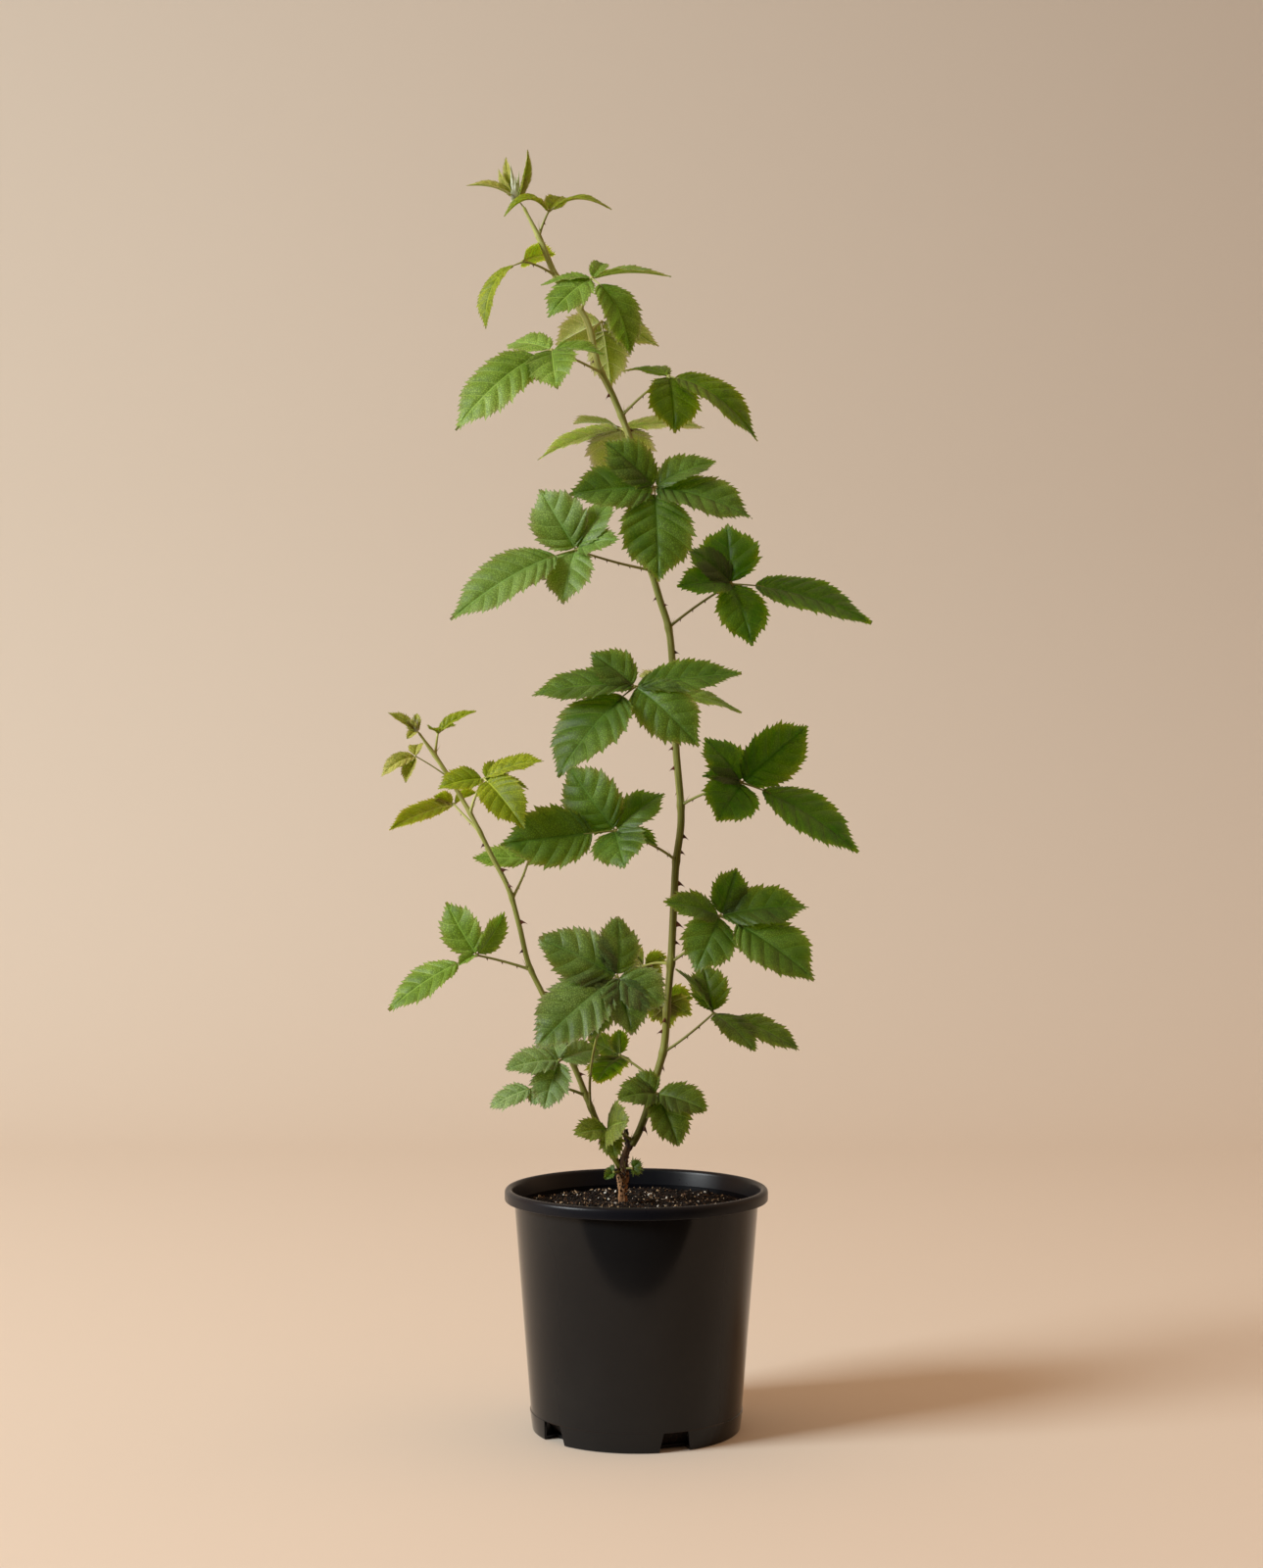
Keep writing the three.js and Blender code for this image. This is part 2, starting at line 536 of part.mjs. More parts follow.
// Leaves of the side cane from its foot up
const SIDE_LEAVES = [
  { name: 'leaf_side_01', at: 250, hub: [-72.9, 257.6, -12], tilt: 40, stalk: 9, leaflets: [
    [-38.1, -16.4, -8, 21], [-4.5, -14, -12, 16],
  ] },
  { name: 'leaf_side_02', at: 275, hub: [-58.7, 277, -20], tilt: 40, leaflets: [
    [-40.4, -6.7, -14, 27], [-11.2, -36.6, -18, 29, 20], [29.9, 8.2, 30, 24, 40], [-5, 14, 22, 18],
  ] },
  { name: 'leaf_side_03', at: 241, hub: [-14.6, 340.6, -58], via: [-40, 280, -26],
    tilt: 30, stalk: 8, leaflets: [
    [-61.3, -53.8, -30, 50, 16], [-59.8, 29.2, -2, 42, 30], [0, 45.6, 12, 32, 30, 25],
    [35.1, -21.7, -8, 38, 25], [10.5, -44.1, -24, 34, 20], [-21, -47, -8, 24, 20],
  ] },
  { name: 'leaf_side_04', at: 346, hub: [-121.5, 357, -16], via: [-101, 353, -10],
    tilt: 35, stalk: 17, leaflets: [
    [-67.3, -41.9, -14, 30, 38], [-23.2, 40.4, 2, 30, 20], [20.9, 32.9, 8, 22, -8, 50],
    [-14.2, -8, -16, 12],
  ] },
  { name: 'leaf_side_05', at: 400, hub: [-81.9, 430.3, 10], via: [-86, 416, -2], tilt: 45, leaflets: [
    [6, 12, 52, 32, 70], [-42.6, 0.7, -4, 24, 50, 0, 0.02], [47.1, 29.9, 10, 26, 60],
  ] },
  { name: 'leaf_side_06', at: 465, hub: [-116.2, 491.6, -30], via: [-124, 478, -18],
    tilt: 35, stalk: 6, leaflets: [
    [30.7, -38.1, -34, 32, 22, 0, 0.12], [-35.1, -7.5, -10, 24, 40], [45.6, 13.5, -4, 24, 58],
    [18, 10, 20, 18, 50], [34, -8, 14, 16, 55],
  ] },
  { name: 'leaf_side_07', at: 451, hub: [-139.4, 472.2, 8], via: [-134, 466, -6],
    tilt: 40, swing: UNDER, leaflets: [
    [-49.3, -19.4, 8, 22, 45], [-15, 6, -8, 13], [18, 9, 14, 14, 40, -130],
  ] },
  { name: 'leaf_side_08', at: 492, hub: [-168.6, 508.8, -20], via: [-156, 502, -14],
    tilt: 40, leaflets: [
    [-26.2, -15.7, -6, 14, 40, 0, 0.15], [-7.5, -20.2, -8, 12], [2.2, 9, 18, 12],
  ] },
  { name: 'leaf_side_09', at: 509, hub: [-151.4, 526.8, 4], tilt: 60, leaflets: [
    [29.2, 16.4, 4, 13], [13.5, 6, 16, 8], [-7, 3, -14, 10, 80],
  ] },
];

// The two growing tips, and two tiny shoots at the stub
const TIPS = [
  { name: 'shoot_tip_long', cane: LONG_CANE, at: 928, hub: [-91.6, 935.7, 45], tilt: 35, leaflets: [
    [8.2, 38.1, -4, 11, 0, 55], [-38.9, 10.5, -8, 12, 55, 0, 0.12], [-8.2, 32.1, 6, 9, 20, -50],
    [-14.2, 23.2, 0, 8, -10, -50], [6, 19, -12, 8, -20, 60],
  ] },
  { name: 'shoot_tip_side', cane: SIDE_CANE, at: 525, hub: [-167.6, 528, -16], tilt: 40, leaflets: [
    [-22, 14, -6, 9], [-7, 9, -4, 8, -10], [0, 13.5, 4, 7], [-7.5, -6, -10, 7],
  ] },
  { name: 'shoot_foot_left', at: 191, hub: [-17, 192, 3], tilt: 40, leaflets: [
    [-7, -5, -6, 8], [-4, 4, 5, 7],
  ] },
  { name: 'shoot_foot_right', at: 194, hub: [-3, 195, 4], tilt: 40, leaflets: [
    [6, 5, -1, 9, 20], [5, -4, -3, 7],
  ] },
];

const STUB_LIMB = { curve: STUB };
const ON_STUB = ['leaf_foot', 'shoot_foot_left', 'shoot_foot_right'];

function allLeaves() {
  const leaves = [
    ...LONG_LEAVES.map((leaf) => ({ cane: LONG_CANE, ...leaf })),
    ...SIDE_LEAVES.map((leaf) => ({ cane: SIDE_CANE, ...leaf })),
    ...TIPS,
  ];
  return leaves.map((leaf) => ({
    swing: 0,
    stalk: 0,
    terminal: 0,
    ...leaf,
    cane: ON_STUB.includes(leaf.name) ? STUB_LIMB : leaf.cane,
  }));
}

// The materials and the assembly
const COLOURS = {
  pot: { color: '#1d2024', roughness: 0.45 },
  soil: { color: '#2c2019', roughness: 0.95 },
  bark: { color: '#7a5138', roughness: 0.85 },
  cane: { color: '#77863a', roughness: 0.6 },
  leaf: { color: '#44702c', roughness: 0.55 },
  youngLeaf: { color: '#7f9b34', roughness: 0.55 },
};

const bramble = new THREE.Group();

function add(name, solid, look) {
  const mesh = new THREE.Mesh(
    toGeometry(solid),
    new THREE.MeshStandardMaterial({ ...COLOURS[look], metalness: 0 }),
  );
  mesh.name = name;
  bramble.add(mesh);
}

const limbsWithGap = union([stubSolid(GAP), caneSolid(LONG_CANE, GAP), caneSolid(SIDE_CANE, GAP)]);

add('pot', potSolid(), 'pot');
add('potting_mix', soilSolid(), 'soil');
add('woody_stub', stubSolid(0), 'bark');
const leaves = allLeaves();
for (const [name, cane, seed] of [['long_cane', LONG_CANE, 11], ['side_cane', SIDE_CANE, 5]]) {
  const leafHeights = leaves.filter((leaf) => leaf.cane === cane).map((leaf) => leaf.at);
  const solid = union([caneSolid(cane, 0), ...prickles(cane, seed, leafHeights)]);
  add(name, largestPiece(solid.subtract(stubSolid(GAP))), 'cane');
}
for (const leaf of leaves) {
  const solid = largestPiece(leafSolid(leaf).subtract(limbsWithGap));
  add(leaf.name, solid, leaf.name.startsWith('shoot') ? 'youngLeaf' : 'leaf');
}

export default bramble;
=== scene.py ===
import bmesh
import bpy
import numpy as np
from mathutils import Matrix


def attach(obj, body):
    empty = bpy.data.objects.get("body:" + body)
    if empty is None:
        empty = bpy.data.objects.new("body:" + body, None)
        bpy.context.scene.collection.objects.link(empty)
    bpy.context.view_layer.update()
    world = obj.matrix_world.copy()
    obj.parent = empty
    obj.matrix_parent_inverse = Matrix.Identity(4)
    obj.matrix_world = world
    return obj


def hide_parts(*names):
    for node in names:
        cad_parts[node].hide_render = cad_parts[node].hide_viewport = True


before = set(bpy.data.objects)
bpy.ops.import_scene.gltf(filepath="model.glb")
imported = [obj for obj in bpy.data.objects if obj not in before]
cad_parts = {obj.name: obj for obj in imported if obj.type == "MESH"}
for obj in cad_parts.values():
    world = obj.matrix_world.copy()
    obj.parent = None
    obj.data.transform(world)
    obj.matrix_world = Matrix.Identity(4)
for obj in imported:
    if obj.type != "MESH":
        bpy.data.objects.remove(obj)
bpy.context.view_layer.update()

# The camera
# It stands level with the middle of the plant, straight in front of it, and looks up a hair.
CAMERA_X, CAMERA_Y, CAMERA_Z = -3.7, -1783, 458
CAMERA_LOOKS_UP_DEG = 0.95
LENS_MM = 53.66
FILM_MM = 36

lens = bpy.data.cameras.new("camera")
lens.lens = LENS_MM
lens.sensor_width = FILM_MM
camera = bpy.data.objects.new("camera", lens)
camera.location = (CAMERA_X / 1000, CAMERA_Y / 1000, CAMERA_Z / 1000)
camera.rotation_euler = (np.radians(90 + CAMERA_LOOKS_UP_DEG), 0, 0)
bpy.context.scene.collection.objects.link(camera)
bpy.context.scene.camera = camera

# The pot
# A round nursery pot of thin black plastic, blown or moulded in one: a plain tapered wall, a
# rolled lip round the mouth, a low foot band and five drain notches cut up from the foot.
POT_HEIGHT = 181
RIM_RADIUS = 100
WALL_TOP_RADIUS = 92.8
WALL_FOOT_RADIUS = 79
WALL = 1.6
LIP_HEIGHT = 9
LIP_FOOT = POT_HEIGHT - LIP_HEIGHT
LIP_ROUND = 3
LIP_STEPS = 10
EDGE_ROUND = 0.8
EDGE_STEPS = 3
FLOOR = 2.5
FOOT_BAND_HEIGHT = 15
FOOT_BAND_STEP = 0.6
POT_COLUMNS = 224
POT_SHARP_DEG = 32
NOTCHES = 5
NOTCH_FIRST_DEG = -51
NOTCH_WIDTH = 25
NOTCH_TOP_WIDTH = 19
NOTCH_HEIGHT = 14.5
NOTCH_DEPTH = 12
NOTCH_CUT_PAST_WALL = 10
NOTCH_CUT_BELOW_FOOT = 1


def srgb(red, green, blue):
    """A colour as a screen counts it, from 0 to 255, turned into shares of light."""
    share = np.array([red, green, blue]) / 255
    light = np.where(share <= 0.04045, share / 12.92, ((share + 0.055) / 1.055) ** 2.4)
    return (*light.tolist(), 1.0)


class Finish:
    """A material: one shader, with colours and bumps that follow noise on the surface."""

    def __init__(self, name, colour, roughness, **sockets):
        self.material = bpy.data.materials.new(name)
        self.material.use_nodes = True
        self.nodes = self.material.node_tree.nodes
        self.links = self.material.node_tree.links
        self.shader = self.nodes["Principled BSDF"]
        self.shader.inputs["Base Color"].default_value = colour
        self.shader.inputs["Roughness"].default_value = roughness
        for socket, value in sockets.items():
            self.shader.inputs[socket.replace("_", " ")].default_value = value
        self.places = {}

    def where(self, source, stretch):
        """Coordinates for a pattern, stretched along each axis."""
        key = (source, stretch)
        if key not in self.places:
            start = self.nodes.new("ShaderNodeTexCoord")
            mapping = self.nodes.new("ShaderNodeMapping")
            mapping.inputs["Scale"].default_value = stretch
            self.links.new(start.outputs[source], mapping.inputs["Vector"])
            self.places[key] = mapping.outputs["Vector"]
        return self.places[key]

    def noise(self, scale, detail=3, source="Object", stretch=(1, 1, 1)):
        """Cloudy noise from 0 to 1."""
        node = self.nodes.new("ShaderNodeTexNoise")
        node.inputs["Scale"].default_value = scale
        node.inputs["Detail"].default_value = detail
        self.links.new(self.where(source, stretch), node.inputs["Vector"])
        return node.outputs["Fac"]

    def cells(self, scale, feature="F1", source="Object"):
        """Distances in a pattern of cells."""
        node = self.nodes.new("ShaderNodeTexVoronoi")
        node.feature = feature
        node.inputs["Scale"].default_value = scale
        self.links.new(self.where(source, (1, 1, 1)), node.inputs["Vector"])
        return node.outputs["Distance"]

    def height(self, lowest, highest):
        """How far up the object a point is, from 0 to 1 between two heights in millimetres."""
        start = self.nodes.new("ShaderNodeTexCoord")
        parts = self.nodes.new("ShaderNodeSeparateXYZ")
        self.links.new(start.outputs["Object"], parts.inputs["Vector"])
        return self.span(parts.outputs["Z"], lowest / 1000, highest / 1000, 0, 1)

    def span(self, value, from_low, from_high, to_low, to_high):
        """A value moved from one range to another, and held there."""
        node = self.nodes.new("ShaderNodeMapRange")
        for socket, number in zip(("From Min", "From Max", "To Min", "To Max"),
                                  (from_low, from_high, to_low, to_high)):
            node.inputs[socket].default_value = number
        self.links.new(value, node.inputs["Value"])
        return node.outputs["Result"]

    def ramp(self, value, *stops):
        """Colours laid out along a value; each stop is (value, colour)."""
        node = self.nodes.new("ShaderNodeValToRGB")
        marks = node.color_ramp.elements
        while len(marks) < len(stops):
            marks.new(0.5)
        for mark, (at, colour) in zip(marks, stops):
            mark.position = at
            mark.color = colour
        self.links.new(value, node.inputs["Fac"])
        return node.outputs["Color"]

    def blend(self, share, below, above):
        """Two colours mixed by a share; either may be a colour or another node's."""
        node = self.nodes.new("ShaderNodeMix")
        node.data_type = "RGBA"
        self.links.new(share, node.inputs["Factor"])
        for socket, colour in ((node.inputs[6], below), (node.inputs[7], above)):
            if isinstance(colour, tuple):
                socket.default_value = colour
            else:
                self.links.new(colour, socket)
        return node.outputs[2]

    def colour(self, value):
        """The shader's colour follows a value."""
        self.links.new(value, self.shader.inputs["Base Color"])

    def roughness(self, value):
        """The shader's roughness follows a value."""
        self.links.new(value, self.shader.inputs["Roughness"])

    def bump(self, value, depth_mm, strength=1.0):
        """Raises the surface by a value times a depth, on top of earlier bumps."""
        node = self.nodes.new("ShaderNodeBump")
        node.inputs["Distance"].default_value = depth_mm / 1000
        node.inputs["Strength"].default_value = strength
        self.links.new(value, node.inputs["Height"])
        normal = self.shader.inputs["Normal"]
        if normal.is_linked:
            self.links.new(normal.links[0].from_socket, node.inputs["Normal"])
        self.links.new(node.outputs["Normal"], normal)


class Mould:
    """Gathers the surfaces of one piece, then casts them as one mesh."""

    def __init__(self):
        self.points, self.faces, self.finish, self.uv = [], [], [], []
        self.count = 0

    def add(self, points, faces, finish=0, uv=None):
        """points is any array of places, faces rows of 3 or 4 of their numbers, finish a
        material's number or one for each face, and uv one pair for each point."""
        points = np.asarray(points, float).reshape(-1, 3)
        self.points.append(points)
        self.faces.append(np.asarray(faces) + self.count)
        self.finish.append(np.broadcast_to(finish, len(faces)))
        self.uv.append(np.zeros((len(points), 2)) if uv is None else np.reshape(uv, (-1, 2)))
        self.count += len(points)

    def cast(self, name, finishes, sharp_deg=40):
        """A smooth mesh whose seams and poles are closed and whose faces look outwards."""
        corners = np.concatenate([faces.ravel() for faces in self.faces])
        sizes = np.concatenate([np.full(len(faces), faces.shape[1]) for faces in self.faces])
        mesh = bpy.data.meshes.new(name)
        mesh.vertices.add(self.count)
        mesh.vertices.foreach_set("co", (np.concatenate(self.points) / 1000).ravel())
        mesh.loops.add(len(corners))
        mesh.loops.foreach_set("vertex_index", corners)
        mesh.polygons.add(len(sizes))
        mesh.polygons.foreach_set("loop_start", np.cumsum(sizes) - sizes)
        mesh.polygons.foreach_set("material_index", np.concatenate(self.finish))
        mesh.polygons.foreach_set("use_smooth", np.ones(len(sizes), bool))
        layer = mesh.uv_layers.new(name="surface")
        layer.data.foreach_set("uv", np.concatenate(self.uv)[corners].ravel())
        mesh.update(calc_edges=True)
        for finish in finishes:
            mesh.materials.append(finish.material)
        shell = bmesh.new()
        shell.from_mesh(mesh)
        bmesh.ops.remove_doubles(shell, verts=shell.verts, dist=1e-6)
        bmesh.ops.dissolve_degenerate(shell, edges=shell.edges, dist=1e-7)
        bmesh.ops.recalc_face_normals(shell, faces=shell.faces)
        shell.to_mesh(mesh)
        shell.free()
        mesh.set_sharp_from_angle(angle=np.radians(sharp_deg))
        piece = bpy.data.objects.new(name, mesh)
        bpy.context.scene.collection.objects.link(piece)
        return piece


def grid_faces(rows, columns, wrap=False):
    """Quads between neighbouring rows and columns of a grid of points; wrap joins the last
    column to the first."""
    row, column = np.mgrid[:rows - 1, :columns if wrap else columns - 1]
    nearby = (column + 1) % columns
    corners = (row * columns + column, row * columns + nearby,
               (row + 1) * columns + nearby, (row + 1) * columns + column)
    return np.stack([corner.ravel() for corner in corners], -1)


def arc(radius_at, height_at, radius, from_deg, to_deg, steps):
    """Places [r, z] round a corner of a lathe profile, about its centre."""
    turn = np.radians(np.linspace(from_deg, to_deg, steps + 1))
    return np.stack([radius_at + radius * np.cos(turn), height_at + radius * np.sin(turn)], -1)


def lathe(profile, columns):
    """A profile of [r, z] turned about the upright axis: x = r cos a, y = r sin a."""
    turn = 2 * np.pi * np.arange(columns) / columns
    radius, height = np.asarray(profile)[:, 0, None], np.asarray(profile)[:, 1, None]
    return np.stack(np.broadcast_arrays(radius * np.cos(turn), radius * np.sin(turn), height), -1)


def pot_profile():
    """The pot's section from the middle of its underside, up the outside and down the inside,
    and for each stretch of it a number: 0 outside, 1 on the lip, 2 inside."""
    band = WALL_FOOT_RADIUS + (WALL_TOP_RADIUS - WALL_FOOT_RADIUS) * FOOT_BAND_HEIGHT / LIP_FOOT
    outside = np.concatenate([
        [[0, 0]],
        arc(WALL_FOOT_RADIUS - EDGE_ROUND, EDGE_ROUND, EDGE_ROUND, -90, 0, EDGE_STEPS),
        [[band + FOOT_BAND_STEP, FOOT_BAND_HEIGHT - FOOT_BAND_STEP], [band, FOOT_BAND_HEIGHT]],
        [[WALL_TOP_RADIUS, LIP_FOOT]],
    ])
    lip = np.concatenate([
        arc(RIM_RADIUS - EDGE_ROUND, LIP_FOOT + EDGE_ROUND, EDGE_ROUND, -90, 0, EDGE_STEPS),
        arc(RIM_RADIUS - LIP_ROUND, POT_HEIGHT - LIP_ROUND, LIP_ROUND, 0, 180, LIP_STEPS),
    ])
    inside = np.array([[WALL_TOP_RADIUS - WALL, LIP_FOOT - LIP_ROUND],
                       [WALL_FOOT_RADIUS - WALL, FLOOR], [0, FLOOR]])
    part = np.repeat([0, 1, 2], [len(outside), len(lip), len(inside)])
    return np.concatenate([outside, lip, inside]), part[:-1]


def notch_block(turn_deg):
    """The block that cuts one drain notch: a tapered section carried in towards the axis."""
    half_foot, half_top = NOTCH_WIDTH / 2, NOTCH_TOP_WIDTH / 2
    foot, top = -NOTCH_CUT_BELOW_FOOT, NOTCH_HEIGHT
    section = [[-half_foot, foot], [half_foot, foot], [half_top, top], [-half_top, top]]
    near, far = -(WALL_FOOT_RADIUS - NOTCH_DEPTH), -(WALL_FOOT_RADIUS + NOTCH_CUT_PAST_WALL)
    block = np.array([[x, y, z] for y in (far, near) for x, z in section])
    turn = np.radians(turn_deg)
    spin = np.array([[np.cos(turn), -np.sin(turn), 0], [np.sin(turn), np.cos(turn), 0], [0, 0, 1]])
    sides = [[i, (i + 1) % 4, (i + 1) % 4 + 4, i + 4] for i in range(4)]
    return block @ spin.T, np.array([[0, 1, 2, 3], [7, 6, 5, 4], *sides])


def cut(piece, cutter):
    """Takes the cutter's solid out of a piece, for good."""
    knife = piece.modifiers.new("cut", "BOOLEAN")
    knife.operation = "DIFFERENCE"
    knife.solver = "EXACT"
    knife.object = cutter
    graph = bpy.context.evaluated_depsgraph_get()
    mesh = bpy.data.meshes.new_from_object(piece.evaluated_get(graph))
    piece.modifiers.clear()
    piece.data = mesh
    bpy.data.objects.remove(cutter)


def dress(piece, slot, *nodes):
    """The piece rides with the object and hides the solids of the model that it takes the place of;
    slot is not used.
    """
    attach(piece, "root")
    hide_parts(*nodes)


def plastic(name, dark, light, roughest, gloss):
    """Black plastic, clouded from dark to light; roughest is its dullest roughness."""
    finish = Finish(name, srgb(*dark), roughest, Specular_IOR_Level=gloss)
    finish.colour(finish.ramp(finish.noise(9, 4), (0.35, srgb(*dark)), (0.75, srgb(*light))))
    finish.roughness(finish.span(finish.noise(30, 6), 0.3, 0.75, 0.65 * roughest, roughest))
    finish.bump(finish.noise(10, 2, stretch=(1, 1, 0.3)), 0.1)
    return finish


# The three are one moulded plastic. The lip and the inside are darker and bluer than the outside:
# the blue is a painted reflection of the cool lamp, and the inside's darkness is painted shade.
outer_plastic = plastic("outer_plastic", (23, 23, 24), (33, 33, 33), 0.13, 0.23)
lip_plastic_painted_reflection = plastic("lip_plastic_painted_reflection", (14, 16, 22), (20, 22, 29), 0.4, 0.2)
inner_plastic_painted_shade = plastic("inner_plastic_painted_shade", (8, 9, 13), (13, 14, 19), 0.5, 0.04)
inner_plastic_painted_shade.bump(inner_plastic_painted_shade.noise(260, 2, stretch=(0, 0, 1)), 0.25)
plastics = [outer_plastic, lip_plastic_painted_reflection, inner_plastic_painted_shade]

pot_mould = Mould()
profile, part = pot_profile()
pot_mould.add(lathe(profile, POT_COLUMNS), grid_faces(len(profile), POT_COLUMNS, wrap=True),
              finish=np.repeat(part, POT_COLUMNS))
pot = pot_mould.cast("pot_shell", plastics, sharp_deg=POT_SHARP_DEG)
notch_mould = Mould()
for i in range(NOTCHES):
    notch_mould.add(*notch_block(NOTCH_FIRST_DEG + i * 360 / NOTCHES))
cut(pot, notch_mould.cast("notches", [outer_plastic]))
pot.data.set_sharp_from_angle(angle=np.radians(POT_SHARP_DEG))
dress(pot, "pot", "pot")

# The potting mix
# Loose, moist, dark crumbs of bark and peat that fill the pot to below its lip, with white
# perlite grains and a few paler slivers of bark lying on top.
MIX_TOP = 167
MIX_EDGE_WIDTH = 5
MIX_EDGE_DROP = 2
MIX_SETTLED = 1.2
MIX_UNEVEN = 0.9
MIX_LONGEST_LUMP = 45
MIX_SHORTEST_LUMP = 4
MIX_CLEAR_OF_POT = 0.3
MIX_RIM_BELOW_TOP = 4
MIX_RIM_IN = 0.1
MIX_COLUMNS = 180
MIX_RINGS = 70
CRUMBS = 3600
LARGE_CRUMBS = 120
FINE_CRUMBS = 6500
PERLITE_GRAINS = 220
SLIVERS = 420
BITS_CLEAR_OF_WALL = 1.5
BIT_ROUGHNESS = 0.18
MIX_SHARP_DEG = 35


def smooth_step(low, high, value):
    """0 below low, 1 above high, and an easy s-shaped rise between them."""
    share = np.clip((np.asarray(value) - low) / (high - low), 0, 1)
    return share * share * (3 - 2 * share)


def lumps(x, y, longest, shortest, waves, rng):
    """Uneven ground: sines of many lengths and directions, added up; about -1 to 1."""
    length = longest * (shortest / longest) ** rng.random(waves)
    turn = rng.uniform(0, 2 * np.pi, waves)
    start = rng.uniform(0, 2 * np.pi, waves)
    crossing = x[..., None] * np.cos(turn) + y[..., None] * np.sin(turn)
    swell = np.sin(2 * np.pi * crossing / length + start) * (length / longest) ** 0.5
    return swell.sum(-1) / np.sqrt(waves / 2)


def mix_height(x, y):
    """How high the mix lies at x and y: nearly level, sloping down a little at the wall."""
    radius = np.hypot(x, y)
    edge = smooth_step(mix_radius(MIX_TOP) - MIX_EDGE_WIDTH, mix_radius(MIX_TOP), radius)
    rise = lumps(x, y, MIX_LONGEST_LUMP, MIX_SHORTEST_LUMP, 40, np.random.default_rng(3))
    level = MIX_TOP - MIX_SETTLED - MIX_EDGE_DROP * edge
    return level + MIX_UNEVEN * rise * (1 - 0.5 * edge)


def mix_radius(z):
    """How wide the mix is at a height, just inside the tapered wall."""
    slope = (WALL_TOP_RADIUS - WALL_FOOT_RADIUS) / LIP_FOOT
    return WALL_FOOT_RADIUS - WALL + slope * (z - FLOOR) - MIX_CLEAR_OF_POT


def turned(rng, count):
    """Random turns in space, as 3 x 3 matrices, worked out from random quaternions."""
    w, x, y, z = rng.normal(size=(4, count))
    size = np.sqrt(w * w + x * x + y * y + z * z)
    w, x, y, z = w / size, x / size, y / size, z / size
    rows = [[1 - 2 * (y * y + z * z), 2 * (x * y - w * z), 2 * (x * z + w * y)],
            [2 * (x * y + w * z), 1 - 2 * (x * x + z * z), 2 * (y * z - w * x)],
            [2 * (x * z - w * y), 2 * (y * z + w * x), 1 - 2 * (x * x + y * y)]]
    return np.array(rows).transpose(2, 0, 1)


def strewn(count, size, longer, seed, sunk=0.3):
    """Lumpy 20-sided bits strewn over the mix: a ball of 12 points, each point pushed in or
    out, stretched to size, turned at random and set down part sunk. Returns points, faces."""
    rng = np.random.default_rng(seed)
    golden = (1 + 5 ** 0.5) / 2
    ball = np.array([[-1, golden, 0], [1, golden, 0], [-1, -golden, 0], [1, -golden, 0],
                     [0, -1, golden], [0, 1, golden], [0, -1, -golden], [0, 1, -golden],
                     [golden, 0, -1], [golden, 0, 1], [-golden, 0, -1], [-golden, 0, 1]])
    ball = ball / np.linalg.norm(ball[0])
    sides = np.array([[0, 11, 5], [0, 5, 1], [0, 1, 7], [0, 7, 10], [0, 10, 11], [1, 5, 9],
                      [5, 11, 4], [11, 10, 2], [10, 7, 6], [7, 1, 8], [3, 9, 4], [3, 4, 2],
                      [3, 2, 6], [3, 6, 8], [3, 8, 9], [4, 9, 5], [2, 4, 11], [6, 2, 10],
                      [8, 6, 7], [9, 8, 1]])
    radius = size[0] * (size[1] / size[0]) ** rng.random(count) / 2
    shape = radius[:, None] * np.array(longer) * rng.uniform(0.7, 1.3, (count, 3))
    bits = ball * (1 + BIT_ROUGHNESS * rng.normal(size=(count, 12, 1))) * shape[:, None, :]
    bits = np.einsum("nij,nkj->nki", turned(rng, count), bits)
    widest = mix_radius(MIX_TOP) - BITS_CLEAR_OF_WALL - radius * max(longer)
    reach = np.sqrt(rng.random(count)) * widest
    way = rng.uniform(0, 2 * np.pi, count)
    x, y = reach * np.cos(way), reach * np.sin(way)
    level = mix_height(x, y) + (1 - 2 * sunk) * np.ptp(bits[..., 2], axis=1) / 2
    bits = bits + np.stack([x, y, level], -1)[:, None, :]
    faces = sides + 12 * np.arange(count)[:, None, None]
    return bits, faces.reshape(-1, 3)


def mix_body():
    """The mix as one closed body: rings of points from the middle of its underside, up a cut-off
    corner that clears the drain notches, up beside the wall and in over its bumpy top."""
    turn = 2 * np.pi * np.arange(MIX_COLUMNS) / MIX_COLUMNS
    foot = FLOOR + MIX_CLEAR_OF_POT
    chamfer = NOTCH_HEIGHT + FLOOR
    side = [[0, foot], [mix_radius(foot) - NOTCH_DEPTH, foot], [mix_radius(chamfer), chamfer]]
    top = np.linspace(mix_radius(MIX_TOP - MIX_RIM_BELOW_TOP) - MIX_RIM_IN, 0, MIX_RINGS)
    radius = np.concatenate([[r for r, _ in side], top])[:, None]
    x, y = radius * np.cos(turn), radius * np.sin(turn)
    z = mix_height(x, y)
    z[:len(side)] = np.array([z for _, z in side])[:, None]
    return np.stack([x, y, z], -1), grid_faces(len(radius), MIX_COLUMNS, wrap=True)


peat = Finish("peat", srgb(38, 28, 22), 0.95, Specular_IOR_Level=0.25)
peat.colour(peat.ramp(peat.noise(420, 4), (0.3, srgb(10, 7, 6)), (0.55, srgb(26, 19, 14)),
                      (0.8, srgb(64, 46, 33))))
peat.bump(peat.noise(900, 3), 1.2)
crumb = Finish("crumb", srgb(52, 38, 29), 0.9, Specular_IOR_Level=0.3)
crumb.colour(crumb.ramp(crumb.noise(300, 3), (0.35, srgb(8, 5, 4)), (0.57, srgb(32, 22, 16)),
                        (0.74, srgb(120, 88, 60))))
crumb.bump(crumb.noise(1600, 2), 0.4)
perlite = Finish("perlite", srgb(222, 216, 204), 0.85)
perlite.bump(perlite.cells(1800), 0.3)
sliver = Finish("sliver", srgb(140, 98, 66), 0.85)
sliver.colour(sliver.ramp(sliver.noise(500, 2), (0.35, srgb(110, 80, 54)),
                          (0.65, srgb(222, 190, 148))))

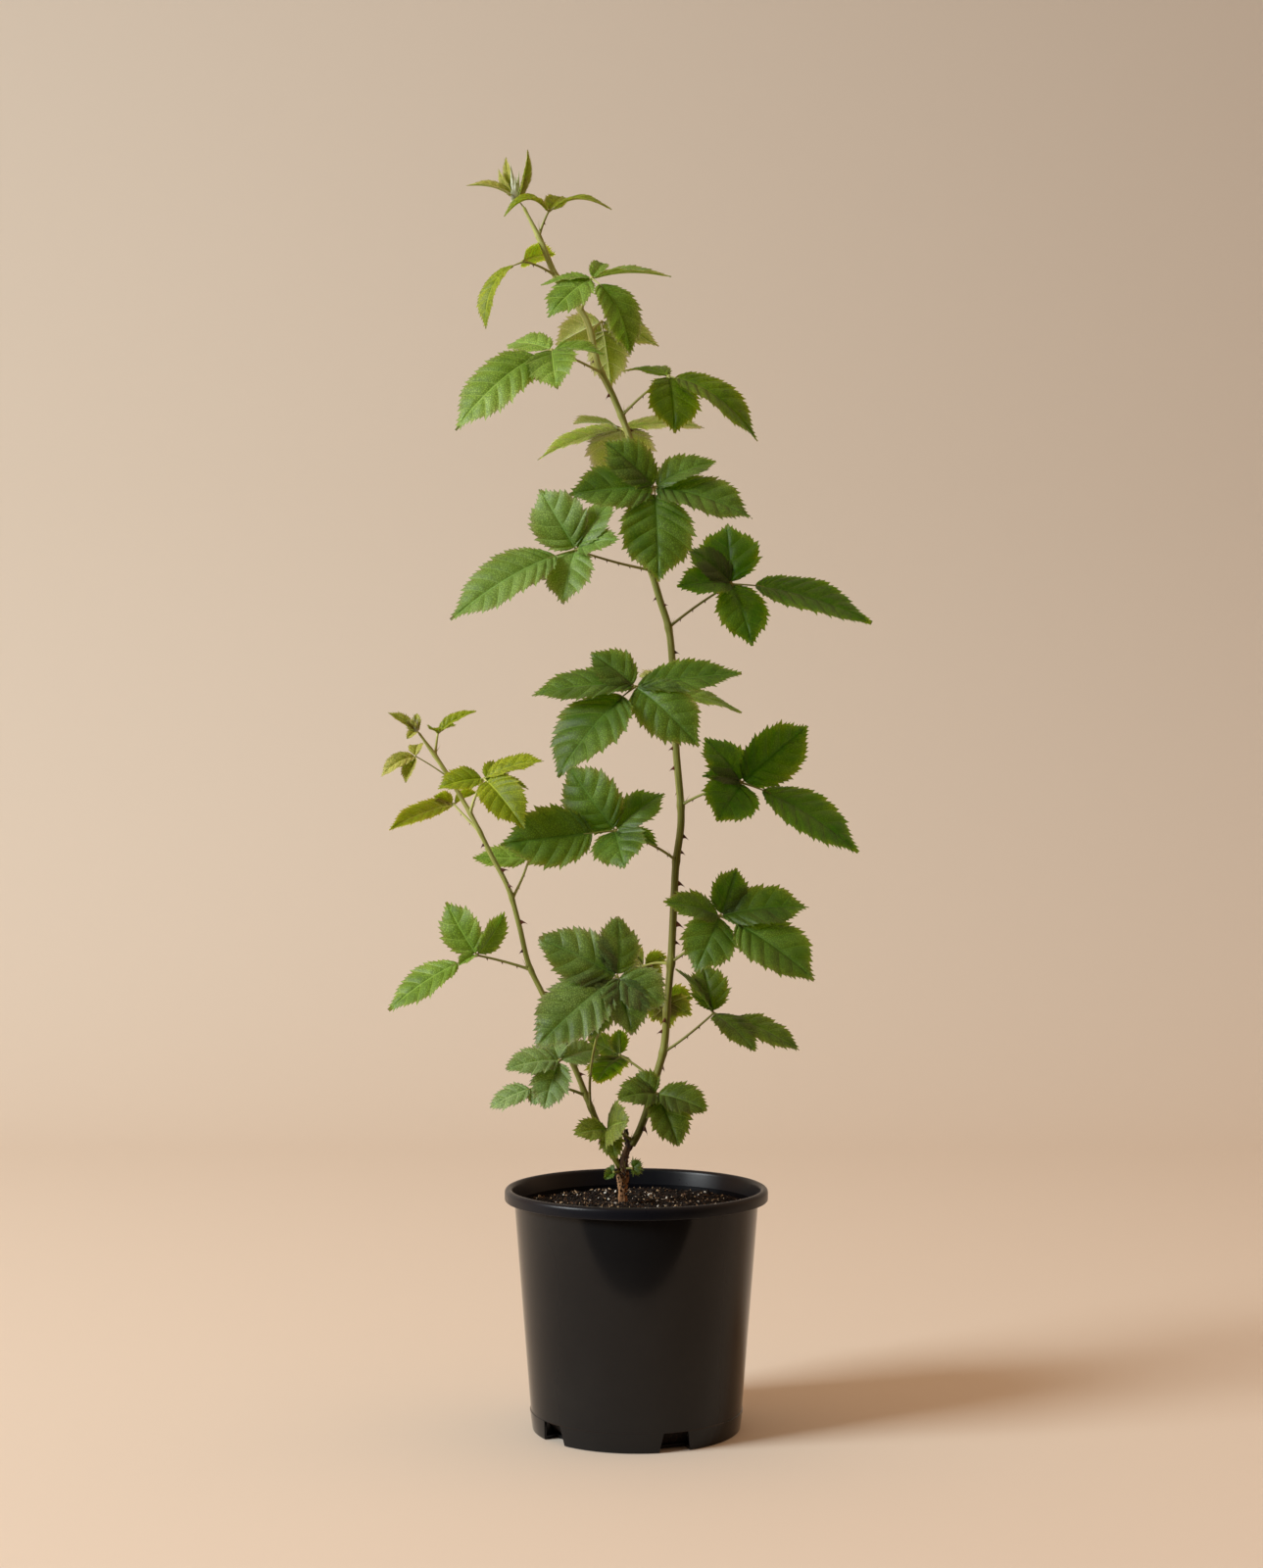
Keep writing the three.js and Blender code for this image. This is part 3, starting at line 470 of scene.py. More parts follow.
mix_mould = Mould()
mix_mould.add(*mix_body(), finish=0)
mix_mould.add(*strewn(CRUMBS, (0.8, 2.3), (1.2, 1, 0.8), seed=21), finish=1)
mix_mould.add(*strewn(LARGE_CRUMBS, (2.5, 5), (1.3, 1, 0.6), seed=22, sunk=0.45), finish=1)
mix_mould.add(*strewn(PERLITE_GRAINS, (0.7, 2.4), (1.1, 1, 0.9), seed=23, sunk=0.2), finish=2)
mix_mould.add(*strewn(SLIVERS, (0.7, 2.2), (1.8, 0.8, 0.5), seed=24, sunk=0.2), finish=3)
mix = mix_mould.cast("mix", [peat, crumb, perlite, sliver], sharp_deg=MIX_SHARP_DEG)
dress(mix, "potting_mix", "potting_mix")
fine_mould = Mould()
fine_mould.add(*strewn(FINE_CRUMBS, (0.5, 1.5), (1.3, 1, 0.8), seed=25, sunk=0.1))
fine_mix = fine_mould.cast("fine_mix", [crumb], sharp_deg=MIX_SHARP_DEG)
dress(fine_mix, "potting_mix", "potting_mix")

# The woody stub
# Last year's stem, cut back: brown bark round a leaning foot with a swollen knuckle where the
# new canes broke out, and the dead, dark end of the old cut beside them.
# The point that the places in the lists below are seen from, and its distance from the pot's axis
SIGHT_X, SIGHT_Z = -3.7, 458
SIGHT_DISTANCE = 1783
FRONT = np.array([0, -1, 0])
STUB_RADIUS = 3.4
STUB_TAPER = 0.7
KNUCKLE = 1.7
KNUCKLE_AT = 0.5
KNUCKLE_SPREAD = 0.13
STUB_BARK_DEPTH = 0.4
STUB_RINGS = 110
STUB_SPOKES = 40
STUB_PLACES = [[-10, MIX_TOP - 6, 10], [-10.5, 178, 10], [-10.2, 190, 10], [-10, 198, 10],
               [-7.5, 208, 9.5], [-3, 216, 9]]
SNAG_PLACES = [[-5.5, 211, 9], [-7.5, 218, 10], [-7.8, 225, 11]]
SNAG_RADIUS = 2.6
SNAG_TAPER_SHARE = 0.4
SNAG_BARK_DEPTH = 0.25
SNAG_RINGS = 40
BUD_SCALES = 90
BUD_SCALE_STOUT = 0.6
SPIKE_BEND = 0.55
SPIKE_FOOT_LONGER = 1.3
BARK_SHARP_DEG = 60


def place(seen):
    """Places [x, z, y] as they line up with the pot's axis from the front, put where they are:
    depth y moves each along its line of sight."""
    x, z, y = np.moveaxis(np.asarray(seen, float), -1, 0)
    nearer = 1 + y / SIGHT_DISTANCE
    return np.stack([SIGHT_X + (x - SIGHT_X) * nearer, y, SIGHT_Z + (z - SIGHT_Z) * nearer], -1)


def unit(vectors):
    """Each vector divided by its own length."""
    return vectors / np.linalg.norm(vectors, axis=-1, keepdims=True)


class Path:
    """A line through close-set points, read by the share of its length already passed."""

    def __init__(self, points):
        self.points = points
        passed = np.concatenate([[0], np.linalg.norm(np.diff(points, axis=0), axis=1).cumsum()])
        self.length = passed[-1]
        self.share = passed / passed[-1]

    def at(self, share):
        """Places on the line, each on the straight stretch between two of its points."""
        share = np.clip(share, 0, 1)
        axes = [np.interp(share, self.share, self.points[:, axis]) for axis in range(3)]
        return np.stack(axes, -1)

    def heading(self, share):
        """The direction from a little before each place to a little past it."""
        share = np.clip(share, 0.004, 0.996)
        return unit(self.at(share + 0.004) - self.at(share - 0.004))


def rounded(places):
    """A smooth path through places: between each two, 24 steps of a cubic whose slopes come
    from the neighbours, weighed by the square root of the distances."""
    at = place(places)
    at = np.concatenate([[2 * at[0] - at[1]], at, [2 * at[-1] - at[-2]]])
    a, b, c, d = (at[i:len(at) - 3 + i, None] for i in range(4))
    gap = [np.linalg.norm(q - p, axis=-1, keepdims=True) ** 0.5
           for p, q in ((a, b), (b, c), (c, d))]
    leave = gap[1] * ((b - a) / gap[0] - (c - a) / (gap[0] + gap[1]) + (c - b) / gap[1])
    arrive = gap[1] * ((c - b) / gap[1] - (d - b) / (gap[1] + gap[2]) + (d - c) / gap[2])
    t = (np.arange(24) / 24)[None, :, None]
    curve = (b + leave * t + (3 * (c - b) - 2 * leave - arrive) * t ** 2
             + (2 * (b - c) + leave + arrive) * t ** 3)
    return Path(np.concatenate([curve.reshape(-1, 3), at[-2:-1]]))


def tube(path, share, radius, sides, spoke):
    """A round skin along a path. At each share a ring of the given radius stands square to the
    path; its first spoke points as nearly as it can along spoke. radius is one number for each
    share, or a row of them round the ring."""
    centre, ahead = path.at(share), path.heading(share)
    first = unit(spoke - ahead * (ahead @ spoke)[:, None])
    second = np.cross(ahead, first)
    turn = 2 * np.pi * np.arange(sides) / sides
    out = (first[:, None] * np.cos(turn)[:, None] + second[:, None] * np.sin(turn)[:, None])
    radius = np.asarray(radius)
    return centre[:, None] + out * (radius[:, None] if radius.ndim == 1 else radius)[..., None]


def closed(share, radius):
    """A tube's shares and radii with a closed point added at both ends."""
    radius = np.asarray(radius, float)
    return (np.concatenate([share[:1], share, share[-1:]]),
            np.concatenate([0 * radius[:1], radius, 0 * radius[-1:]]))


def bark_radius(path, share, radius, seed, depth):
    """A radius with bark on it: the sum of three sets of ridges that wander round the stem, a
    few cracks across them and some pits and lumps."""
    turn = 2 * np.pi * np.arange(STUB_SPOKES) / STUB_SPOKES
    round_stem = turn[None, :] * np.ones((len(share), 1))
    along = share[:, None] * path.length * np.ones((1, STUB_SPOKES))
    rng = np.random.default_rng(seed)
    wander = 0.5 * np.sin(along / 6 + rng.uniform(0, 6))
    ridges = sum(np.sin(n * round_stem + wander * n / 4 + rng.uniform(0, 6)) for n in (5, 8, 13)) / 3
    cracks = np.sin(along / 1.3 + 2 * np.sin(3 * round_stem)) ** 8
    pits = lumps(4 * np.cos(turn)[None, :] + along, 4 * np.sin(turn)[None, :] + 0 * along,
                 7, 1.5, 30, rng)
    return radius[:, None] + depth * (ridges - 0.5 * cracks + 0.7 * pits)


def hook_skins(foot, out, turned_to, length, stout, rings=6, spokes=6):
    """Hooked spikes, all at once. Each is a cone whose middle line leaves along out and bends
    to turned_to with the square of the way passed; stout is its foot's width as a share of its
    length, and its foot is over twice as long as it is wide."""
    way = np.linspace(0, 1, rings)[None, :, None]
    length = np.asarray(length)[:, None, None]
    bend = turned_to[:, None] * SPIKE_BEND * way ** 2
    line = foot[:, None] + length * (out[:, None] * way + bend)
    side = unit(np.cross(out, turned_to))[:, None, None]
    lengthwise = unit(turned_to)[:, None, None]
    turn = 2 * np.pi * np.arange(spokes) / spokes
    thick = (stout / 2 * length * (1 - way))[..., None]
    longer = 1 + SPIKE_FOOT_LONGER * (1 - way)[..., None] ** 1.5
    points = (line[:, :, None] + side * thick * np.cos(turn)[:, None]
              + lengthwise * thick * longer * np.sin(turn)[:, None])
    faces = grid_faces(rings, spokes, wrap=True)
    faces = faces + rings * spokes * np.arange(len(foot))[:, None, None]
    return points, faces.reshape(-1, 4)


stub_path = rounded(STUB_PLACES)
snag_path = rounded(SNAG_PLACES)
stub_share = np.linspace(0, 1, STUB_RINGS)
swelling = KNUCKLE * np.exp(-(((stub_share - KNUCKLE_AT) / KNUCKLE_SPREAD) ** 2))
plain_radius = STUB_RADIUS - STUB_TAPER * stub_share + swelling
stub_radius = bark_radius(stub_path, stub_share, plain_radius, seed=5, depth=STUB_BARK_DEPTH)
snag_share = np.linspace(0, 1, SNAG_RINGS)
snag_radius = bark_radius(snag_path, snag_share, SNAG_RADIUS * (1 - SNAG_TAPER_SHARE * snag_share),
                          seed=6, depth=SNAG_BARK_DEPTH)

# Dead bud scales that stand up round the knuckle
rng = np.random.default_rng(8)
scale_share = rng.normal(KNUCKLE_AT, KNUCKLE_SPREAD * 0.8, BUD_SCALES)
up_stem = stub_path.heading(scale_share)
turn = rng.uniform(0, 2 * np.pi, BUD_SCALES)
out = np.stack([np.cos(turn), np.sin(turn), 0 * turn], -1)
out = unit(out - up_stem * (out * up_stem).sum(-1, keepdims=True))
reach = np.interp(scale_share, stub_share, plain_radius) * 0.9
scales = hook_skins(stub_path.at(scale_share) + out * reach[:, None], out, up_stem,
                    rng.uniform(1.2, 2.6, BUD_SCALES), BUD_SCALE_STOUT, rings=4, spokes=5)

bark = Finish("bark", srgb(110, 74, 50), 0.85, Specular_IOR_Level=0.3)
streaks = bark.noise(150, 5, stretch=(1, 1, 0.3))
# The foot's bark, up to 180 mm, is painted lighter: painted light where the lamp falls on it. From
# 196 mm up the bark is its own darker brown.
foot_bark_painted_light = bark.ramp(streaks, (0.3, srgb(92, 62, 38)), (0.5, srgb(160, 116, 78)),
                      (0.75, srgb(204, 164, 122)))
old_bark = bark.ramp(streaks, (0.3, srgb(38, 26, 15)), (0.5, srgb(76, 52, 32)),
                     (0.75, srgb(124, 92, 62)))
bark.colour(bark.blend(bark.height(180, 196), foot_bark_painted_light, old_bark))
bark.bump(bark.noise(500, 4, stretch=(1, 1, 0.25)), 0.5)
dead_wood = Finish("dead_wood", srgb(46, 34, 26), 0.9)
dead_wood.colour(dead_wood.ramp(dead_wood.noise(260, 4), (0.35, srgb(26, 19, 15)),
                                (0.7, srgb(78, 58, 42))))
dead_wood.bump(dead_wood.noise(700, 3), 0.6)

stub_mould = Mould()
stub_mould.add(tube(stub_path, *closed(stub_share, stub_radius), STUB_SPOKES, FRONT),
               grid_faces(STUB_RINGS + 2, STUB_SPOKES, wrap=True), finish=0)
stub_mould.add(tube(snag_path, *closed(snag_share, snag_radius), STUB_SPOKES, FRONT),
               grid_faces(SNAG_RINGS + 2, STUB_SPOKES, wrap=True), finish=1)
stub_mould.add(*scales, finish=1)
stub = stub_mould.cast("stub", [bark, dead_wood], sharp_deg=BARK_SHARP_DEG)
dress(stub, "bark", "woody_stub")

# The canes
# This year's stems, green and a little ridged, thicker and browner at the foot, with a slight
# swelling and bend at each leaf and small hooked prickles that point down.
LONG_CANE_PLACES = [
    [-3.5, 213, 9], [1.9, 223, 8], [9.3, 243, 6], [16, 268, 5], [21, 287, 6], [23.8, 324, 7],
    [26.5, 354, 8], [28.8, 399, 10], [30.3, 427, 11], [34.2, 460, 12], [30.3, 515, 15],
    [27.5, 580, 19], [24.5, 607, 22], [16.8, 632, 24], [3.5, 683, 30], [-3, 744, 40],
    [-16.8, 782, 42], [-29, 808, 43], [-38, 842, 44], [-61.7, 877, 45], [-73, 903, 45],
    [-86, 929, 45],
]
SIDE_CANE_PLACES = [
    [-12.5, 196, 10], [-20.6, 210, 8], [-33.3, 238, 5], [-43, 262, 3], [-53.5, 287, 0],
    [-70.6, 326, -4], [-81.9, 350, -6], [-89.3, 380, -8], [-97.6, 408, -10],
    [-111, 434, -11], [-124, 460, -12], [-146.9, 499, -14], [-165.6, 526, -15],
]
# Prickles that the front shows, as their height on the cane and their side, -1 for the left.
LONG_PRICKLES = [(299, -1), (367, 1), (381, 1), (412, 1), (448, 1), (500, -1), (515, -1),
                 (588, 1), (630, -1), (786, -1)]
SIDE_PRICKLES = [(266, 1), (382, 1), (421, 1), (442, -1)]
PRICKLE_LENGTH = 7.4
PRICKLE_STOUT = 0.4
PRICKLES_MORE_EVERY = 21
PRICKLES_STRAY = 7
PRICKLES_APART = 6
PRICKLES_STOP_AT = 0.93
TIP_DRAWN_IN = 0.5
TIP_STARTS_AT = 0.955
NODE_SWELLING = 0.17
NODE_HALF_LENGTH = 3.2
CANE_RIBS = 5
CANE_RIB_HEIGHT = 0.035
CANE_RIBS_TURN_OVER = 70
CANE_SPOKES = 20
CANE_RING_EVERY = 1.1
CANE_SHARP_DEG = 60
ALL_GREEN_FOR = 120


class Cane:
    """A stem: its path, and how thick it is along it."""

    def __init__(self, places, foot_radius, taper, power):
        self.path = rounded(places)
        self.foot_radius, self.taper, self.power = foot_radius, taper, power

    def radius(self, share):
        """Slimmer up the stem, and drawn in quickly at the growing tip."""
        tip = 1 - TIP_DRAWN_IN * smooth_step(TIP_STARTS_AT, 1, share)
        return (self.foot_radius - self.taper * share ** self.power) * tip

    def share_at(self, height):
        """The share of the length at a height, as seen from the front."""
        fine = np.linspace(0, 1, 4000)
        at = self.path.at(fine)
        seen = SIGHT_Z + (at[:, 2] - SIGHT_Z) / (1 + at[:, 1] / SIGHT_DISTANCE)
        return np.interp(height, seen, fine)


long_cane = Cane(LONG_CANE_PLACES, 2.9, 0.6, 2)
side_cane = Cane(SIDE_CANE_PLACES, 2.4, 0.8, 1)
stub_stem = Cane(STUB_PLACES, STUB_RADIUS, 0, 1)


def cane_skin(cane, node_shares, seed):
    """The cane's skin: a tube with five low ribs that turn slowly and a swelling at each leaf.
    Returns points, faces and the surface's own places, round and along the cane."""
    rings = int(cane.path.length / CANE_RING_EVERY)
    share = np.linspace(0, 1, rings)
    turn = 2 * np.pi * np.arange(CANE_SPOKES) / CANE_SPOKES
    along = share * cane.path.length
    nodes = np.array(node_shares)[None] * cane.path.length
    away = (along[:, None] - nodes) / NODE_HALF_LENGTH
    swelling = NODE_SWELLING * np.exp(-away ** 2).sum(1)
    ribs = CANE_RIB_HEIGHT * np.cos(
        CANE_RIBS * turn[None] + along[:, None] / CANE_RIBS_TURN_OVER + seed)
    radius = cane.radius(share)[:, None] * (1 + swelling[:, None] + ribs)
    shares, radii = closed(share, radius)
    points = tube(cane.path, shares, radii, CANE_SPOKES, FRONT)
    up_cane = shares[:, None] * cane.path.length / 100
    uv = np.stack(np.broadcast_arrays(np.cos(turn)[None] * 0.5, up_cane), -1)
    return points, grid_faces(rings + 2, CANE_SPOKES, wrap=True), uv


def cane_prickles(cane, seen, leaf_shares, seed):
    """The prickles that are seen, and more at random round the cane between them and clear of
    the leaves. They are hooked downwards, and smaller up the cane."""
    rng = np.random.default_rng(seed)
    length = cane.path.length
    shares = [cane.share_at(height) for height, _ in seen]
    outs = [[side, -0.25, -0.15] for _, side in seen]
    more = np.arange(PRICKLES_MORE_EVERY, length * PRICKLES_STOP_AT, PRICKLES_MORE_EVERY)
    more = (more + rng.uniform(-PRICKLES_STRAY, PRICKLES_STRAY, len(more))) / length
    taken = np.array(shares + list(leaf_shares))
    more = more[np.abs(more[:, None] - taken).min(1) * length > PRICKLES_APART]
    turn = rng.uniform(0, 2 * np.pi, len(more))
    around = np.stack([np.cos(turn), np.sin(turn), 0 * turn - 0.15], -1)
    outs = unit(np.concatenate([outs, around]))
    shares = np.concatenate([shares, more])
    ahead = cane.path.heading(shares)
    outs = unit(outs - ahead * (outs * ahead).sum(-1, keepdims=True))
    foot = cane.path.at(shares) + outs * (cane.radius(shares) * 0.8)[:, None]
    size = PRICKLE_LENGTH * rng.uniform(0.7, 1.1, len(shares)) * (1 - 0.45 * shares)
    return hook_skins(foot, outs, -ahead, size, PRICKLE_STOUT)


# The leaves
# Each is a thin bent petiole with two to six toothed leaflets at its end: pleated between the
# side veins, pale along the rib, glossy above and paler, with raised veins, below.
PETIOLE_RADIUS = 1.15
PETIOLE_TAPER = 0.35
PETIOLE_RISE = 0.12
PETIOLE_SWELLING = 0.9
PETIOLE_RING_EVERY = 2.2
SWELLING_REACH = 2.2
UNFOLDING_SIZE = 0.55
STIPULE_LENGTH = 6
STIPULE_STOUT = 0.16
STIPULE_AT = 3.5
HOOK_LENGTH = 2.1
HOOK_STOUT = 0.42
HOOKS_FROM = 11
HOOKS_EVERY = 12
HOOKS_CLEAR_OF_HUB = 4
HUB_RADIUS = 1.35
HUB_SPOKES = 8
HUB_STEPS = 6
BUD_LENGTH = 26
BUD_STOUT = 0.24
STALK = 1.5
STALK_RADIUS = 0.82
STALK_TAPER = 0.4
STALK_SWELLING = 0.3
STALK_SPOKES = 6
WIDE_LEAFLET = 26
TINY_LEAFLET = 15
LEAFLET_START = 0.9
ARCH = 0.07
CREST_SHARE = 0.45
FOLD_DEG = 9
BLADE_THICKNESS = 0.34
BLADE_SHARP_DEG = 60
TOOTH_PITCH = 3.7
TOOTH_DEPTH = 0.56
TOOTH_PEAK = 0.8
TOOTH_LEAN = 0.4
VEIN_TOOTH = 1.15
OTHER_TOOTH = 0.95
TEETH_TO_A_VEIN = 3
HALF_VEIN = 0.055
VEIN_HEIGHT = 0.35
RIB_HEIGHT = 0.75
RIB_REACH = 0.75
RIB_GROOVE = 0.4
RIB_HALF_WIDTH = 0.5
# The shares of the way from the rib to the margin where a blade's outer columns of points lie
BLADE_COLUMNS = (0.22, 0.38, 0.54, 0.69, 0.82, 0.92, 1)
FACES_OUT_DEG = 34
OUT_REACH = 60
# The swing of a leaf that shows its underside
UNDER = 180
LEAVES = []


def leaf(name, at, hub, via=None, tilt=40, swing=0, stalk=0, terminal=0, leaflets=(),
         tone="mid", stem=None):
    """One row of the list of leaves: the height of its foot on its stem, the place where its
    leaflets meet, a place that its petiole bends by, where its face looks (tilt up from the
    front, swing to the right), its end leaflet's stalk and number, and its leaflets' rows
    (dx, dz, dy to the tip, width, tilt, swing, arch). Its name says which cane it grows on,
    unless stem does."""
    stem = stem or ("side" if "side" in name else "long")
    LEAVES.append({"name": name, "at": at, "hub": hub, "via": via, "tilt": tilt, "swing": swing,
                   "stalk": stalk, "terminal": terminal, "leaflets": leaflets, "tone": tone,
                   "stem": stem})


# Leaves of the long cane from its foot up
leaf("leaf_foot", 216, (-22, 224.7, -12), tilt=30, tone="worn", stem="stub", leaflets=[
    (-25, -4, -14, 21), (6.5, -21.7, -10, 17), (15.5, 6, -30, 34, 20, -60)
])
leaf("leaf_long_01", 243, (16, 251.6, -12), tilt=40, tone="deep", leaflets=[
    (37.4, -12.7, -14, 30), (15.7, -39.6, -18, 32), (-29.9, -3.7, -18, 28), (-16, 15, 4, 20)
])
leaf("leaf_long_02", 261, (-12.3, 280.8, 14), via=(3, 272, 10),
     tilt=30, swing=UNDER, tone="deep", leaflets=[
    (-17.9, -20.9, 30, 32), (-0.7, 19.4, -8, 14), (-24.7, 12, 12, 22)
])
leaf("leaf_long_03", 283, (58.7, 312.9, -6), via=(37, 293, 0),
     tilt=45, stalk=18, tone="deep", leaflets=[
    (65, -27.7, -10, 28, 50), (31.4, -29.2, -32, 26, 36), (-29, 33.6, -6, 20, 60, 60),
    (-8, 36, 16, 30, 20, 10)
])
leaf("leaf_long_04", 314, (19.8, 324, 27), tilt=20, swing=UNDER, tone="olive", leaflets=[
    (23.2, 0, 14, 20), (22, -12.5, 6, 19), (5.5, -22.4, 8, 17), (-7.5, -17, 12, 18),
    (-18, 6, 16, 20, 30, 130)
])
leaf("leaf_long_05", 350, (5.6, 348.8, 32), tilt=30, swing=UNDER, tone="olive", leaflets=[
    (-20, -2, 22, 22, 30, 140), (17.2, 7, 8, 17), (14.2, -9, 2, 13), (-13, 14, 16, 18, 20, 130)
])
leaf("leaf_long_06", 352, (63.9, 386.9, -14), via=(44, 362, -4),
     tilt=35, stalk=17, tone="mid", leaflets=[
    (71.8, -48.6, -28, 50, 22), (67.3, 6.7, 2, 38, 40), (12.5, 36.6, 8, 28, 25),
    (-43.4, 10.5, -14, 28, 46), (-19.2, -42.6, -22, 40, 20)
])
leaf("leaf_long_07", 429, (-16.1, 452, -32), via=(14, 443, -8),
     tilt=40, stalk=19, tone="mid", leaflets=[
    (-87.5, -10.5, -18, 47, 12, 0, 0.02), (-35.9, 50.1, 4, 44, 20), (37.4, 28.4, 8, 32, 50),
    (7.5, -28.4, -34, 40, 40), (32.1, -11.2, -14, 20, 60)
])
leaf("leaf_long_08", 471, (80.4, 488.6, -4), via=(50, 482, 2),
     tilt=40, stalk=19, tone="green_in_painted_shade", leaflets=[
    (89, -53.1, -18, 44, 38), (50.1, 43.4, 14, 42, 20), (-28.4, 33.6, 12, 32, 40),
    (-29.9, 5, -8, 20, 55), (-19.4, -29.2, -28, 42, 30)
])
leaf("leaf_long_09", 545, (30.3, 556, 56), tilt=50, swing=UNDER, tone="bright", leaflets=[
    (8, 6, 70, 34, 70), (50.1, -14.2, 14, 26, 62, 0), (-28, 14, 34, 26, 50, 110),
    (4, -32, 34, 30, 20)
])
leaf("leaf_long_10", 537, (-1.1, 561.9, -48), via=(16, 552, -14),
     tilt=30, stalk=15, tone="mid", leaflets=[
    (-59.1, -68.8, -32, 56, 18), (-78.5, -7.5, -6, 40, 48), (-33.6, 25.4, 4, 32, 45),
    (81.5, 10.5, 2, 36, 50, 0, 0.02), (48.6, -45.6, -18, 42, 22, 0, 0.12)
])
leaf("leaf_long_11", 607, (72.9, 640.4, 10), via=(50, 628, 16),
     tilt=35, stalk=20, tone="green_in_painted_shade", leaflets=[
    (106.9, -29.9, -14, 44, 40), (-3.7, 45.6, 16, 46, 15, 0, 0), (-35.1, 27.7, -4, 30, 40),
    (-41.9, -2.2, -26, 30, 40), (15.7, -47.1, -20, 38, 20, 10)
])
leaf("leaf_long_12", 651, (-46, 666.5, -26), via=(-17, 656, -2),
     tilt=35, stalk=20, tone="green_and_painted_sheen", leaflets=[
    (-95.7, -53.8, -30, 42, 42, 0, 0.09), (-27.7, 46.4, 2, 42, 20, -15),
    (29.9, 38.9, 6, 30, 50), (32.9, 8.2, -18, 26, 45), (-10.5, -41.1, -24, 36, 25, -15)
])
leaf("leaf_long_13", 683, (13.8, 714.4, -36), via=(8, 704, -6),
     tilt=30, stalk=8, tone="mid", leaflets=[
    (3, -72.5, -28, 53, 15), (-65, -5.2, -12, 42, 28, 0, 0.04), (-38.9, 35.9, -8, 34, 35),
    (47.1, 19.4, 6, 32, 52), (74.8, -23.9, -18, 44, 34)
])
leaf("leaf_long_14", 751, (-12.3, 759.3, 76), tilt=30, swing=UNDER, tone="russet", leaflets=[
    (2.2, -42, 26, 54, 0), (-63.5, -23.9, 4, 32, 78), (-35.9, 4, 22, 26, 80),
    (64.3, 0.7, 8, 32, 78)
])
leaf("leaf_long_15", 769, (25, 799.6, 22), via=(8, 790, 34),
     tilt=40, stalk=6, tone="olive", leaflets=[
    (67.3, -50.1, -8, 34, 52, 0, 0.14), (4.5, -43.4, -20, 40, 22), (-34.4, 3.7, 42, 26, 66)
])
leaf("leaf_long_16", 802, (-64.7, 819.8, -8), via=(-44, 812, 18),
     tilt=40, stalk=17, tone="bright", leaflets=[
    (-74, -61.3, -22, 40, 30, 0, 0.13), (3.7, -29.9, -38, 36, 50), (-34, 4, 34, 28, 55),
    (40.4, -3.7, -4, 26, 60)
])
leaf("leaf_long_17", 832, (-26.5, 841.5, 62),
     tilt=30, swing=UNDER, stalk=8, terminal=1, tone="bright", leaflets=[
    (-35, -18, 20, 28), (7, -50, 18, 32, 20), (43.4, -19.4, 18, 28, 60)
])
leaf("leaf_long_18", 850, (-34, 875.1, 6), via=(-36, 866, 26),
     tilt=40, stalk=10, terminal=1, tone="bright", leaflets=[
    (-33.6, -29.9, -16, 31, 30), (29, -59, -6, 34, 30, 30, 0.16), (60.6, 0.7, 2, 32, 74),
    (-38.9, -6, 6, 16, 60), (9.7, 11.2, 28, 14)
])
leaf("leaf_long_19", 876, (-87.1, 887.8, 26), tilt=45, stalk=10, tone="young", leaflets=[
    (-28.4, -51.6, -12, 22, 35, -50, 0.19), (25.4, 5.2, 42, 20, 34, -115)
])
leaf("leaf_long_20", 907, (-66.9, 926.7, 42), tilt=60, stalk=5, tone="young", leaflets=[
    (47.8, 0.7, -4, 20, 68, 0, 0.19), (10.5, 11.2, 24, 17, 40),
    (-34.4, -4.5, -16, 14, 60, 0, 0.3)
])
# Leaves of the side cane from its foot up
leaf("leaf_side_01", 250, (-72.9, 257.6, -12), tilt=40, stalk=9, tone="pale", leaflets=[
    (-38.1, -16.4, -8, 21), (-4.5, -14, -12, 16)
])
leaf("leaf_side_02", 275, (-58.7, 277, -20), tilt=40, tone="pale", leaflets=[
    (-40.4, -6.7, -14, 27), (-11.2, -36.6, -18, 29, 20), (29.9, 8.2, 30, 24, 40),
    (-5, 14, 22, 18)
])
leaf("leaf_side_03", 241, (-14.6, 340.6, -58), via=(-40, 280, -26),
     tilt=30, stalk=8, tone="grey", leaflets=[
    (-61.3, -53.8, -30, 50, 16), (-59.8, 29.2, -2, 42, 30), (0, 45.6, 12, 32, 30, 25),
    (35.1, -21.7, -8, 38, 25), (10.5, -44.1, -24, 34, 20), (-21, -47, -8, 24, 20)
])
leaf("leaf_side_04", 346, (-121.5, 357, -16), via=(-101, 353, -10),
     tilt=35, stalk=17, tone="bright", leaflets=[
    (-67.3, -41.9, -14, 30, 38), (-23.2, 40.4, 2, 30, 20), (20.9, 32.9, 8, 22, -8, 50),
    (-14.2, -8, -16, 12)
])
leaf("leaf_side_05", 400, (-81.9, 430.3, 10), via=(-86, 416, -2),
     tilt=45, tone="bright", leaflets=[
    (6, 12, 52, 32, 70), (-42.6, 0.7, -4, 24, 50, 0, 0.02), (47.1, 29.9, 10, 26, 60)
])
leaf("leaf_side_06", 465, (-116.2, 491.6, -30), via=(-124, 478, -18),
     tilt=35, stalk=6, tone="young", leaflets=[
    (30.7, -38.1, -34, 32, 22, 0, 0.12), (-35.1, -7.5, -10, 24, 40), (45.6, 13.5, -4, 24, 58),
    (18, 10, 20, 18, 50), (34, -8, 14, 16, 55)
])
leaf("leaf_side_07", 451, (-139.4, 472.2, 8), via=(-134, 466, -6),
     tilt=40, swing=UNDER, tone="young", leaflets=[
    (-49.3, -19.4, 8, 22, 45), (-15, 6, -8, 13), (18, 9, 14, 14, 40, -130)
])
